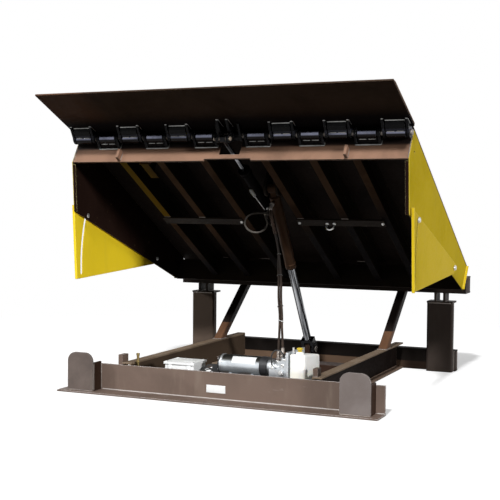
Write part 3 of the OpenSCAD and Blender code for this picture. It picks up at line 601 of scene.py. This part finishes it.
LIFT_ROUTE = [
    (80, 549.5, 965), (80, 533, 954.5), (82, 519, 935), (88, 512, 905), (97, 511, 868), (107, 511, 830),
    (118, 509, 790), (132, 500, 745), (160, 466, 649), (188, 413, 566), (214, 350, 490), (248, 280, 412),
    (266, 236, 363), (292, 180, 305), (305, 152, 260), (307, 145, 240), (307, 145, 222.5)]
LIP_ROUTE = [
    (-13, 687, 915), (-8, 674, 893), (14, 655, 868), (48, 634, 846), (80, 609, 815), (101, 583, 775),
    (117, 550, 730), (140, 490, 648), (170, 425, 565), (196, 362, 489), (232, 290, 411), (250, 245, 361),
    (270, 190, 303), (281, 160, 254), (284, 150, 226), (284, 150, 205.5)]
HOSE_R, WIRE_R = 0.006, 0.0028
routes = {"lift_hose": smooth(LIFT_ROUTE, 112), "lip_hose": smooth(LIP_ROUTE, 120)}


def bends(obj):
    """A piece on the hoses, with its transform applied to its mesh."""
    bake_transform(obj)
    return obj


def cord(name, pts, radius, sides, mat, body):
    """A hose or lead of its real length, attached to a body; without one, its transform is applied instead.
    """
    s = Shape()
    s.tube(pts, radius, sides)
    obj = s.object(name, mat)
    if body is None:
        return bends(obj)
    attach(obj, body)
    return obj


def make_hoses():
    """The two hoses, with a crimped and ribbed fitting at each end."""
    ribs = [0.0096] * 7 + [0.008] * 2 + [0.0088 if i % 3 else 0.008 for i in range(9, 23)] + [0.0066]
    for node, pts in routes.items():
        total = length(pts)
        for end, (a, b) in {"top": (0.0, 0.046), "bottom": (total, total - 0.046)}.items():
            s = Shape()
            run = part_of(pts, a, b, len(ribs))
            s.tube(run, ribs, 20)
            axis = (run[2] - run[0]).normalized()
            s.hexagon(run[0] + axis * 0.001, axis, 0.0125, 0.012)
            bends(s.object(f"{node}_fitting_{end}", "steel"))
        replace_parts(cord(f"{node}_cover", pts, HOSE_R, 16, "rubber", None), node)


def make_spring_guard():
    """A wire coil round the upper end of the lift hose."""
    turns, n = 22, 240
    run = part_of(routes["lift_hose"], 0.05, 0.175, n)
    pts = []
    for i, p in enumerate(run):
        t = (run[min(i + 1, n - 1)] - run[max(i - 1, 0)]).normalized()
        side = (X - t * X.dot(t)).normalized()
        a = i * 2 * pi * turns / (n - 1)
        pts.append(p + 0.0079 * (side * cos(a) + t.cross(side) * sin(a)))
    s = Shape()
    s.tube(pts, 0.0015, 6)
    bends(s.object("hose_spring_guard", "gusset"))


def make_ties():
    """Bands that hold the two hoses together."""
    a, b = routes["lift_hose"], routes["lip_hose"]
    for k, z in enumerate((0.7, 0.6, 0.45, 0.385)):
        s = Shape()
        p = min(a, key=lambda q: abs(q.z - z))
        q = min(b, key=lambda q: abs(q.z - z))
        along = (a[a.index(p) + 1] - p).normalized()
        across = (q - p).normalized()
        out = along.cross(across).normalized()
        half, r = (q - p).length / 2, HOSE_R + 0.0016
        mid = (p + q) / 2
        ring = []
        for i in range(36):
            t = 2 * pi * i / 36
            c, w = cos(t), sin(t)
            ring.append(mid + across * (c * r + (half if c > 0 else -half)) + out * w * r)
        ring.append(ring[0])
        s.tube(ring, 0.0018, 6, along)
        s.box(mid + out * (r + 0.002), (0.006, 0.008, 0.005), (across, along, out), 0.001)
        mat, slot = ("label", "white_plastic") if k == 3 else ("blackplastic", "black_paint")
        bends(s.object(f"hose_tie_{k + 1}", mat))


make_hoses()
make_spring_guard()
make_ties()


# Leads from control box to motor; the wires share their places along X.
LEAD_ROUTE = [
    (-141, 118, 96), (-128, 118, 95.5), (-114, 121, 96), (-102, 129, 101), (-93, 142, 110), (-86, 154, 121),
    (-78, 162, 130), (-70, 164.5, 134), (-64, 165, 135)]
WIRE_X = (-141, -134, -126, -117, -107, -97, -86, -76, -69, -64)
WIRE_YZ = (
    ((126, 126, 127, 129, 131, 134, 138, 142, 145, 147),
     (120, 121, 125, 132, 139, 143, 144, 142, 140, 139)),
    ((150, 150, 150, 150, 151, 152, 154, 156, 158, 159),
     (124, 125.5, 130, 138, 146, 151, 153, 151.5, 150, 149)),
    ((137, 137, 138, 140, 143, 147, 151, 154, 156, 158),
     (110, 111, 114, 122, 129.5, 134.5, 136, 134, 131, 131)),
    ((166, 166, 166, 166, 166, 166, 167, 168, 169, 170),
     (132, 133, 137, 144, 151, 156, 158, 157, 156, 155.5)),
)


def make_motor_lead():
    """The motor lead with its glands, and the four wires beside it."""
    s = Shape()
    s.hexagon((-0.1405, 0.118, 0.096), X, 0.0095, 0.006)
    s.lathe((-0.135, 0.118, 0.096), X, [(0.0075, 0), (0.0078, 0.004), (0.0055, 0.01)], 20)
    s.hexagon((-0.0665, 0.165, 0.135), -X, 0.0085, 0.005)
    glands = s.piece("motor_lead_glands", "frame", "black_paint", "blackplastic")
    cord("motor_lead_1", smooth(LEAD_ROUTE, 40), WIRE_R, 12, "rubber", "frame")
    for k, (ys, zs) in enumerate(WIRE_YZ):
        cord(f"motor_lead_{k + 2}", smooth(zip(WIRE_X, ys, zs), 40), WIRE_R, 12, "blackplastic", "frame")


make_motor_lead()


def make_slack_loop():
    """A loop of slack hose beside the lip cylinder's port, clamped to the lip hose."""
    right, back = Vector((0.915, 0.403, 0)), Vector((-0.403, 0.915, 0))
    middle = Vector((-0.04, 0.612, 0.863))
    route = [Vector((0.004, 0.672, 0.942)), Vector((0.008, 0.655, 0.922))]
    for i in range(13):
        a = radians(28 - 298 * i / 12)
        turn = right * 0.06 * cos(a) + UP * 0.052 * sin(a)
        route.append(middle + turn + back * (0.012 - 0.024 * i / 12))
    for p in ((0, 0.617, 0.915), (0.034, 0.622, 0.905), (0.051, 0.624, 0.878), (0.052, 0.623, 0.85)):
        route.append(Vector(p))
    pts = smooth([q * 1000 for q in route], 110)
    s = Shape()
    s.hexagon(pts[0] - (pts[1] - pts[0]).normalized() * 0.004, pts[1] - pts[0], 0.0105, 0.014)
    end = (pts[-1] - pts[-2]).normalized()
    s.ring(pts[-1] - end * 0.014, end, 0.0085, 0.016)
    ends = s.piece("slack_loop_ends", "deck", "zinc_steel", "zinc")
    cord("slack_loop", pts, 0.005, 14, "pale_hose", "deck")


PUMP_ROUTE = [
    (262, 126, 164), (261, 125, 180), (259, 123, 198), (258, 121, 217), (262, 120, 236), (273, 119, 252),
    (290, 119, 259), (307, 120, 254), (320, 122, 242), (328, 126, 227), (330, 128, 215), (330, 128, 207)]


def make_pump_hose():
    """A short hose that arches from the pump over to the valve block."""
    pts = smooth(PUMP_ROUTE, 60)
    s = Shape()
    for p, q in ((pts[0], pts[2]), (pts[-1], pts[-3])):
        s.hexagon(p, q - p, 0.0078, 0.01)
        s.ring(p + (q - p).normalized() * 0.01, q - p, 0.0058, 0.01)
    ends = s.piece("pump_hose_ends", "frame", "zinc_steel", "zinc")
    cord("pump_hose", pts, 0.0032, 12, "blackplastic", "frame")


make_slack_loop()
make_pump_hose()


# Fasteners, welds and fittings

def make_bolts():
    """Shoulder bolts of the toe guards: washer and hexagon head outside, nut inside."""
    s = Shape()
    for side in SIDES:
        out = X * side
        for u, w in ((0.355, -0.15), (1.162, -0.309)):
            s.lathe(deck(side * 0.901, u, w), out, [(0.0066, 0), (0.007, 0.001), (0.007, 0.03)], 24)
            s.hexagon(deck(side * 0.909, u, w), -out, 0.0125, 0.0078)
            s.ring(deck(side * 0.9264, u, w), out, 0.015, 0.0024)
            s.hexagon(deck(side * 0.9287, u, w), out, 0.0128, 0.0057)
    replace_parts(s.piece("guard_bolt_set", "deck", "zinc_steel", "zinc", 25), "guard_bolts")


def make_welds():
    """Weld beads of frame, deck and lip hinge, with a pale fillet on the sill's joint as a painted highlight,
    and the beams' end plates.
    """
    f, d, black_d, black_l = (Shape() for _ in range(4))
    half = KNUCKLE / 2
    for k in DECK_KNUCKLES:
        x = k * PITCH
        black_d.across(deck, x, half, (HEADER_U, -0.057), 0.0042)
        for e in SIDES:
            black_d.upright(deck, x + e * half, (HEADER_U, -0.056), (HEADER_U, -0.012), 0.0028)
        for e in SIDES:
            black_d.bead(deck(x + e * 0.005, 1.454, -0.0425), deck(x + e * 0.04, 1.454, -0.0425), 0.0022)
    for k in LIP_KNUCKLES:
        x = k * PITCH
        black_l.bead(lip(x - half + 0.016, 0.0635, 0.0305), lip(x + half - 0.016, 0.0635, 0.0305), 0.004)
        for e in SIDES:
            edge = x + e * half
            black_l.bead(lip(x + e * (half - 0.013), 0.0772, 0.0305), lip(edge, 0.0772, 0.0305), 0.004)
            black_l.upright(lip, edge, (0.03, 0.0305), (0.076, 0.0305), 0.0026)
        for e in SIDES:
            black_l.bead(lip(x + e * 0.005, 0.0285, -0.0095), lip(x + e * 0.04, 0.0285, -0.0095), 0.0022)
    for x in (-0.0395, 0.0135):
        black_l.across(lip, x, 0.0065, (0.1128, 0.0305), 0.0038)
        for e in SIDES:
            black_l.upright(lip, x + e * 0.0065, (0.04, 0.0305), (0.112, 0.0305), 0.0026)
    for side in SIDES:
        d.upright(deck, side * 0.9085, (HEADER_U, -0.13), (HEADER_U, 0.005), 0.0034)
        for x in (-0.627, 0.609):
            d.upright(deck, x + side * 0.007, (HEADER_U, -0.129), (HEADER_U, -0.078), 0.003)
        for x in BEAM_X:
            d.across(deck, side * x, 0.018, (1.4175, -0.104), 0.003)
        keeper = 0.658 if side > 0 else -0.806
        f.bead((keeper, -0.0305, 0.0085), (keeper + 0.148, -0.0305, 0.0085), 0.005)
        for x in (0.663, 0.801):
            x = side * x - side * 0.0055
            f.upright(at, x, (0.0545, 0.01), (0.0545, 0.138), 0.0036)
            f.upright(at, x, (-0.0195, 0.01), (-0.0195, 0.15), 0.0036)
        for e in SIDES:
            f.upright(at, side * CHANNEL_X + e * 0.0255, (1.1255, 0.1525), (1.2045, 0.1525), 0.0036)
        f.across(at, side * CHANNEL_X, 0.025, (1.124, 0.1525), 0.004)
        post = side * POST_X
        f.across(at, post, 0.066, (1.4395, 0.4), 0.0034)
        for k in SIDES:
            for e in SIDES:
                x = post + k * 0.026 + e * 0.0072
                f.upright(at, x, (1.444, 0.4105), (1.53, 0.4105), 0.0034)
                f.upright(at, x, (1.452, 0.4575), (1.53, 0.4575), 0.0034)
            f.upright(at, post + k * 0.0765, (1.4905, 0.004), (1.4905, 0.12), 0.0034)
        f.upright(at, side * CHANNEL_IN, (0.0635, 0.01), (0.0635, 0.138), 0.0038)
        f.upright(at, side * CHANNEL_IN, (1.077, 0.05), (1.195, 0.05), 0.0036)
        f.upright(at, side * CHANNEL_IN, (0.077, 0.0622), (0.373, 0.0622), 0.0034)
        for x in (0.16, 0.48, 0.8):
            f.across(at, side * x, 0.055, (1.4576, 0.5553), 0.003)
        for x in (0.32, 0.64):
            d.across(deck, side * x, 0.055, (0.0605, 0.0215), 0.0036)
    f.bead((0.489, 0.0755, 0.1525), (0.515, 0.0755, 0.1525), 0.0036)
    # A pale fillet along the sill's foot, a painted highlight line.
    sill = Shape()
    for a, b in ((-0.649, 0.649), (-0.849, -0.815), (0.815, 0.849)):
        n = int((b - a) / 0.02) + 2
        sill.tube([(a + (b - a) * i / (n - 1), 0.0552, 0.0085) for i in range(n)], 0.0042, 10)
    sill.piece("sill_fillet", "frame", "frame_paint", "fillet_highlight")
    f.bead((0.067, 1.0875, 0.0505), (0.093, 1.0875, 0.0505), 0.0036)
    for e in SIDES:
        f.upright(at, LIFT_X + e * 0.0133, (1.089, 0.0505), (1.183, 0.0505), 0.0034)
        for k in SIDES:
            d.upright(deck, LIFT_X + k * 0.034 + e * 0.006, (0.992, 0.0215), (1.068, 0.0215), 0.0034)
    for a, b in ((-0.669, -0.178), (0.146, 0.632)):
        for x in (copysign(x, a) for x in BEAM_X):
            if a < x < b:
                for u in (0.7378, 0.8005):
                    d.bead(deck(max(x - 0.02, a), u, -0.1058), deck(min(x + 0.02, b), u, -0.1058), 0.0032)
    ends = Shape()
    for side in SIDES:
        ends.box((side * 0.9085, 1.514, 0.5065), (0.009, 0.11, 0.0785), bevel=0.001)
        ends.box((side * 0.8455, 1.525, 0.061), (0.007, 0.0505, 0.1065), bevel=0.001)
    ends.piece("beam_end_plates", "frame", "frame_paint", "gusset")
    f.piece("frame_welds", "frame", "frame_paint", "weld", 60)
    d.piece("deck_welds", "deck", "deck_paint", "weld", 60)
    black_d.piece("deck_hinge_welds", "deck", "black_paint", "weld_black", 60)
    black_l.piece("lip_hinge_welds", "lip", "black_paint", "weld_black", 60)


def make_sleeves():
    """Turned barrels of the lip hinge between the cheeks, with a painted highlight along the front."""
    for name, body, radius, knuckles in (("deck_knuckle_sleeves", "deck", 0.0262, DECK_KNUCKLES),
                                         ("lip_knuckle_sleeves", "lip", 0.028, LIP_KNUCKLES)):
        s = Shape()
        profile = [(radius - 0.003, 0), (radius, 0.002), (radius, 0.091), (radius - 0.003, 0.093)]
        for k in knuckles:
            s.lathe(LIP_HINGE + X * (k * PITCH - 0.0465), X, profile, 48)
        s.piece(name, body, "black_paint", "sleeve")


def make_pins():
    """Pin ends: bushes and nut on the lip rod's pin, washers and split pins on the lift cylinder's pins."""
    s = Shape()
    pin = ram(1.509)
    for x in (-0.0195, 0.0155):
        s.ring(pin + X * (x - 0.0002), X, 0.015, 0.0042)
    for i in range(4):
        s.ring(pin + X * (0.0335 + i * 0.0016), X, 0.0096 if i % 2 else 0.011, 0.0018)
    s.hexagon(pin - X * 0.0335, -X, 0.0118, 0.007)
    for i in range(4):
        s.ring(pin - X * (0.0455 + i * 0.0013), -X, 0.0098, 0.0012)
    s.piece("lip_pin_bushes", "lip_ram_rod", "latch_brass", "bush")
    up, low = Shape(), Shape()
    foot = LIFT_TOP + LIFT_DOWN * LIFT_LEN
    for e in SIDES:
        up.ring(LIFT_TOP + X * e * 0.0402, X * e, 0.0128, 0.0016)
        low.ring(foot + X * e * 0.0362, X * e, 0.0175, 0.003)
        pin = foot + X * e * 0.0393
        low.tube([pin + LIFT_DOWN.cross(X) * t for t in (-0.016, -0.008, 0.0, 0.008, 0.017)], 0.0016, 8)
    up.piece("lift_pin_ends", "lift_barrel", "zinc_steel", "zinc")
    low.piece("foot_pin_washers", "lift_rod", "zinc_steel", "steel")


def make_glands():
    """Rod glands: a ringed cap with spanner flats at the end of each barrel."""
    s = Shape()
    end, top, front = LIFT_TOP + LIFT_DOWN * 0.505, LIFT_TOP + LIFT_DOWN * 0.046, ram(1.223)
    s.lathe(end - LIFT_DOWN * 0.03, LIFT_DOWN,
            [(0.0292, 0), (0.0312, 0.0015), (0.0312, 0.012), (0.0298, 0.013), (0.0298, 0.016),
             (0.0312, 0.017), (0.0312, 0.027), (0.0296, 0.0305), (0.025, 0.0312), (0.0242, 0.035),
             (0.0226, 0.0354)], 40)
    s.lathe(top + LIFT_DOWN * 0.0005, LIFT_DOWN,
            [(0.027, -0.001), (0.0302, 0.001), (0.0302, 0.009), (0.0291, 0.011)], 40)
    s.piece("lift_barrel_rings", "lift_barrel", "black_paint", "barrel")
    s = Shape()
    s.lathe(front - DECK_F * 0.034, DECK_F,
            [(0.029, -0.001), (0.033, 0.001), (0.033, 0.01), (0.0316, 0.012), (0.0316, 0.022), (0.033, 0.024),
             (0.033, 0.0335), (0.024, 0.0345), (0.018, 0.036), (0.014, 0.0362)], 40)
    s.piece("lip_barrel_rings", "deck", "black_paint", "ram")
    # A pale connector on the lip cylinder's underside, and its thin pipe to the rear end.
    s, pipe = Shape(), Shape()
    axes = (X, DECK_F, DECK_N)
    s.box(deck(-0.024, 1.043, -0.0905), (0.019, 0.06, 0.01), axes, 0.003, 3)
    s.box(deck(-0.024, 1.016, -0.0935), (0.013, 0.016, 0.009), axes, 0.002)
    for u in (1.03, 1.045, 1.06):
        s.box(deck(-0.024, u, -0.0955), (0.021, 0.004, 0.003), axes, 0.001)
    route = ((-0.024, 1.012, -0.0925), (-0.023, 0.985, -0.0918), (-0.022, 0.93, -0.0912),
             (-0.021, 0.88, -0.091), (-0.02, 0.858, -0.0895), (-0.019, 0.852, -0.0855))
    pipe.tube([deck(*p) for p in route], 0.0024, 10)
    s.piece("lip_barrel_connector", "deck", "white_plastic", "label")
    pipe.piece("lip_barrel_pipe", "deck", "zinc_steel", "zinc")


def make_shackle():
    """A U-clamp with its nuts on the right cross bar."""
    s = Shape()
    mid, side = deck(0.334, BAR_U, -0.115), X * 0.02
    arc = [mid + side * cos(a) - DECK_N * (0.02 + 0.02 * sin(a)) for a in (pi * k / 18 for k in range(19))]
    s.tube([mid + side + DECK_N * 0.012, mid + side - DECK_N * 0.008] + arc +
           [mid - side - DECK_N * 0.008, mid - side + DECK_N * 0.012], 0.0045, 12)
    for e in SIDES:
        s.hexagon(mid + X * e * 0.02, -DECK_N, 0.0095, 0.007)
    for x in (-0.187, 0.155, 0.622):
        s.ring(deck(x, BAR_U, -0.1152), -DECK_N, 0.0085, 0.0018)
        s.hexagon(deck(x, BAR_U, -0.1168), -DECK_N, 0.0068, 0.0052)
    s.piece("bar_clamp", "deck", "zinc_steel", "zinc")


def make_power_details():
    """Label, bands and bolts of the motor, terminal lid, valve block fittings, and the sill's bare plate."""
    label, alloy, black, zinc, plate, lid = (Shape() for _ in range(6))
    axis = Vector((0, 0.165, 0.169))
    grid = []
    for i in range(15):
        a = radians(16 + 50 * i / 14)
        for j in range(3):
            r = 0.0473 if 0 < i < 14 else 0.047
            grid.append(axis + X * (0.046 + 0.127 * j / 2) + Vector((0, -cos(a) * r, sin(a) * r)))
    corners = [i * 3 + j for i in range(14) for j in range(2)]
    label.add(grid, [(k, k + 1, k + 4, k + 3) for k in corners])
    label.piece("motor_label", "frame", "white_plastic", "label")
    for shape, x, wide in ((alloy, -0.02, 0.012), (black, 0.193, 0.038)):
        profile = [(0.0468, 0), (0.0485, 0.0012), (0.0485, wide - 0.0012), (0.044, wide)]
        shape.lathe(axis + X * x, X, profile, 48)
    lid.box((-0.048, 0.165, 0.169), (0.04, 0.058, 0.006), bevel=0.0016)
    for k in range(4):
        a = radians(45 + 90 * k)
        bolt = axis + Vector((0, cos(a), sin(a))) * 0.036
        zinc.hexagon(bolt + X * -0.032, -X, 0.0055, 0.004)
        zinc.hexagon(bolt + X * 0.2171, X, 0.0058, 0.005)
    for x in (0.023, 0.15):
        for y in (0.124, 0.206):
            zinc.ring((x, y, 0.068), UP, 0.0085, 0.0016)
            zinc.hexagon((x, y, 0.0695), UP, 0.007, 0.005)
    for y in (0.145, 0.185):
        for z in (0.129, 0.161):
            zinc.lathe((-0.0662, y, z), -X, [(0.0034, 0), (0.0034, 0.001), (0.0018, 0.002)], 14)
    # Valve block: coil with its plug, cartridge heads and blanking plugs.
    black.box((0.32, 0.187, 0.2215), (0.034, 0.034, 0.023), bevel=0.003, parts=3)
    black.box((0.32, 0.2105, 0.2215), (0.022, 0.014, 0.02), bevel=0.002)
    zinc.hexagon((0.32, 0.187, 0.2378), UP, 0.0085, 0.006)
    zinc.hexagon((0.314, 0.103, 0.152), FRONT, 0.0132, 0.007)
    for z in (0.085, 0.115, 0.185):
        zinc.lathe((0.319, 0.1152, z), FRONT,
                   [(0.0085, 0), (0.0085, 0.003), (0.006, 0.0042), (0.004, 0.0026), (0.0005, 0.0026)], 24)
    for y in (0.128, 0.192):
        for z in (0.074, 0.196):
            zinc.lathe((0.2995, y, z), -X, [(0.006, 0), (0.006, 0.0045), (0.0036, 0.0055)], 16)
    zinc.hexagon((0.284, 0.15, 0.1985), UP, 0.0135, 0.0062)
    zinc.hexagon((0.311, 0.145, 0.2082), UP, 0.014, 0.007)
    for y in (0.13, 0.165):
        alloy.lathe((0.268, y, 0.1655), UP, [(0.007, 0), (0.008, 0.001), (0.008, 0.006), (0.005, 0.008)], 20)
    lid.piece("terminal_lid", "frame", "deck_paint", "channel")
    alloy.piece("power_unit_bands", "frame", "cast_aluminium", "alloy")
    black.piece("valve_coil", "frame", "black_paint", "blackplastic")
    zinc.piece("power_unit_bolts", "frame", "zinc_steel", "zinc", 25)
    # A plain blank plate with rivets on the sill.
    plate.box((-0.006, 0.0545, 0.057), (0.103, 0.0016, 0.038), bevel=0.0006)
    for x in (-0.053, 0.041):
        for z in (0.042, 0.072):
            plate.lathe((x, 0.0538, z), FRONT, [(0.0028, 0), (0.0026, 0.0008), (0.0012, 0.0014)], 14)
    plate.piece("sill_plate", "frame", "white_plastic", "label")


def make_tank_details():
    """The tank with its end plate: a moulded body whose top falls to the rear, neck, bolts and cap ribs."""
    tank, plate, cap, zinc = (Shape() for _ in range(4))
    centre, half, corner = Vector((0.3943, 0.221, 0)), (0.0397, 0.109), 0.014

    def ring(inset, level):
        """One loop of points round the body; level gives a point's height from its distance to the rear."""
        pts, r = [], corner - inset * 0.5
        for qx, qy, start in ((1, 1, 0), (-1, 1, 90), (-1, -1, 180), (1, -1, 270)):
            for k in range(7):
                a = radians(start + 15 * k)
                x = qx * (half[0] - inset - r) + r * cos(a)
                y = qy * (half[1] - inset - r) + r * sin(a)
                pts.append(centre + Vector((x, y, level(y))))
        return pts

    def top(drop):
        return lambda y: 0.2345 - 0.103 * y - drop

    def flat(level):
        return lambda y: level

    base = [ring(0.004, flat(0.0622)), ring(0.0008, flat(0.064)), ring(0, flat(0.0675))]
    inset_drop = ((0, 0.009), (0.0012, 0.005), (0.004, 0.0016), (0.009, 0))
    tank.skin(base + [ring(inset, top(drop)) for inset, drop in inset_drop])
    foot = ring(-0.0004, flat(0.0655))
    tank.tube(foot + foot[:1], 0.0028, 8, UP)
    tank.lathe((0.395, 0.15, 0.234), UP,
               [(0.02, 0), (0.019, 0.01), (0.0175, 0.012), (0.0172, 0.018), (0.0155, 0.0198)], 32)
    plate.box((0.344, 0.2215, 0.157), (0.0118, 0.226, 0.189), bevel=0.0025, parts=3)
    plate.lathe((0.362, 0.15, 0.236), UP, [(0.0105, 0), (0.0105, 0.0095), (0.0092, 0.0105)], 24)
    for z in (0.08, 0.232):
        for y in (0.118, 0.32):
            zinc.hexagon((0.3375, y, z), -X, 0.0062, 0.0048)
    for k in range(22):
        a = 2 * pi * k / 22
        out = Vector((cos(a), sin(a), 0))
        cap.box(Vector((0.395, 0.15, 0.267)) + out * 0.013, (0.0022, 0.0019, 0.0086),
                (out, Vector((-out.y, out.x, 0)), UP), 0.0006)
    cap.lathe((0.395, 0.15, 0.2718), UP, [(0.012, 0), (0.011, 0.0012), (0.006, 0.0016), (0.0056, 0.0008)], 28)
    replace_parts(tank.piece("tank_body", "frame", "white_plastic", "tank"), "reservoir")
    plate.piece("tank_end_plate", "frame", "cast_aluminium", "alloy")
    cap.piece("cap_ribs", "frame", "yellow_plastic", "cap")
    zinc.piece("tank_bolts", "frame", "zinc_steel", "zinc", 25)


def make_box_details():
    """The control box lid's panel, lugs and screws."""
    s, zinc = Shape(), Shape()
    screw = [(0.0046, 0), (0.0046, 0.0012), (0.0034, 0.0026), (0.0008, 0.003)]
    for x in (-0.292, -0.146):
        for y in (0.083, 0.202):
            s.lathe((x, y, 0.1718), UP, [(0.0085, 0), (0.0085, 0.001), (0.0078, 0.0016)], 24)
            zinc.lathe((x, y, 0.173), UP, screw, 20)
    for x in (-0.27, -0.168):
        s.box((x, 0.0745, 0.15), (0.02, 0.0045, 0.03), bevel=0.0014)
        s.box((x, 0.073, 0.139), (0.014, 0.005, 0.006), bevel=0.0014)
    s.box((-0.219, 0.1425, 0.1716), (0.116, 0.085, 0.0024), bevel=0.001)
    s.piece("box_trim", "frame", "white_plastic", "white")
    zinc.piece("box_screws", "frame", "zinc_steel", "zinc")


def make_tread(name, body, place, half, start, end, mat):
    """Raised tread bars on a walking surface, in rows that turn by 90 degrees."""
    s, step = Shape(), 0.038
    a, b, c = 0.0135, 0.007, 0.0034
    outline = ((-a, 0), (-b, -c), (b, -c), (a, 0), (b, c), (-b, c))
    faces = [(k, (k + 1) % 6, (k + 1) % 6 + 6, k + 6) for k in range(6)] + [(6, 7, 8, 9, 10, 11)]
    rows, cols = int((end - start) / step), int(2 * half / step)
    for i in range(rows):
        for j in range(cols):
            u = start + (i + 0.5) * (end - start) / rows
            x = -half + (j + 0.5) * 2 * half / cols
            turn = radians(45 if (i + j) % 2 else -45)
            ca, sa = cos(turn), sin(turn)
            bar = []
            for long, wide, w in ((1, 1, -0.0002), (0.82, 0.55, 0.0016)):
                bar += [place(x + p * long * ca - q * wide * sa, u + p * long * sa + q * wide * ca, w)
                        for p, q in outline]
            s.add(bar, faces)
    s.piece(name, body, "deck_paint", mat, 20)


make_bolts()
make_welds()
make_sleeves()
make_pins()
make_glands()
make_shackle()
make_power_details()
make_tank_details()
make_box_details()
make_tread("deck_tread", "deck", lambda x, u, w: deck(x, u, 0.03 + w), 0.905, 0.03, 1.44, "deck")
make_tread("lip_tread", "lip", lambda x, s, n: lip(x, s, 0.047 + n), 0.915, 0.02, 0.355, "lip")


# Floor, background and lights

WHITE = (1000, 1000, 1000)


def make_stage():
    """A floor that is white where it is seen, without shading far off, and dim for scattered light."""
    half, z = 14, -0.001
    mesh = bpy.data.meshes.new("floor")
    corners = [(-half, -half, z), (half, -half, z), (half, half, z), (-half, half, z)]
    mesh.from_pydata(corners, [], [(0, 1, 2, 3)])
    floor = new_object("floor", mesh)
    n = Look("floor")

    def shader(kind, *values):
        return n.node(kind, enumerate(values)).outputs[0]

    seen = n.rays()
    dim = shader("BsdfDiffuse", (50, 50, 50))
    pale = shader("BsdfDiffuse", (740, 740, 740))
    glow, far = shader("Emission", WHITE, 0.42), shader("Emission")
    near = shader("AddShader", pale, glow)
    reach = n.node("VectorMath", {0: n.coord}, operation="LENGTH").outputs["Value"]
    white = shader("MixShader", n.step(reach, 1.9, 4.2), near, far)
    n.fill(n.out, {0: shader("MixShader", seen, dim, white)})
    mesh.materials.append(n.mat)


def make_world():
    """White where it is seen, and dim for scattered light."""
    scene.world = bpy.data.worlds.new("world")
    n = Net(scene.world)
    level = n.node("MapRange", {0: n.rays(), 3: 0.05, 4: 1.0}).outputs[0]
    n.fill(n.tree.nodes["Background"], {0: WHITE, 1: level})


def sun(name, towards, energy, angle):
    data = bpy.data.lights.new(name, "SUN")
    data.energy, data.angle = energy, angle
    obj = new_object(name, data)
    obj.location = (0, 0, 4)
    obj.rotation_euler = Vector(towards).to_track_quat("Z", "Y").to_euler()


make_stage()
make_world()
sun("key", (0.08, -0.768, 0.632), 3.15, 0.06)
sun("fill", (0.9, -0.36, 0.25), 1.9, 0.1)
sun("left", (-0.62, -0.6, 0.5), 1.1, 0.1)
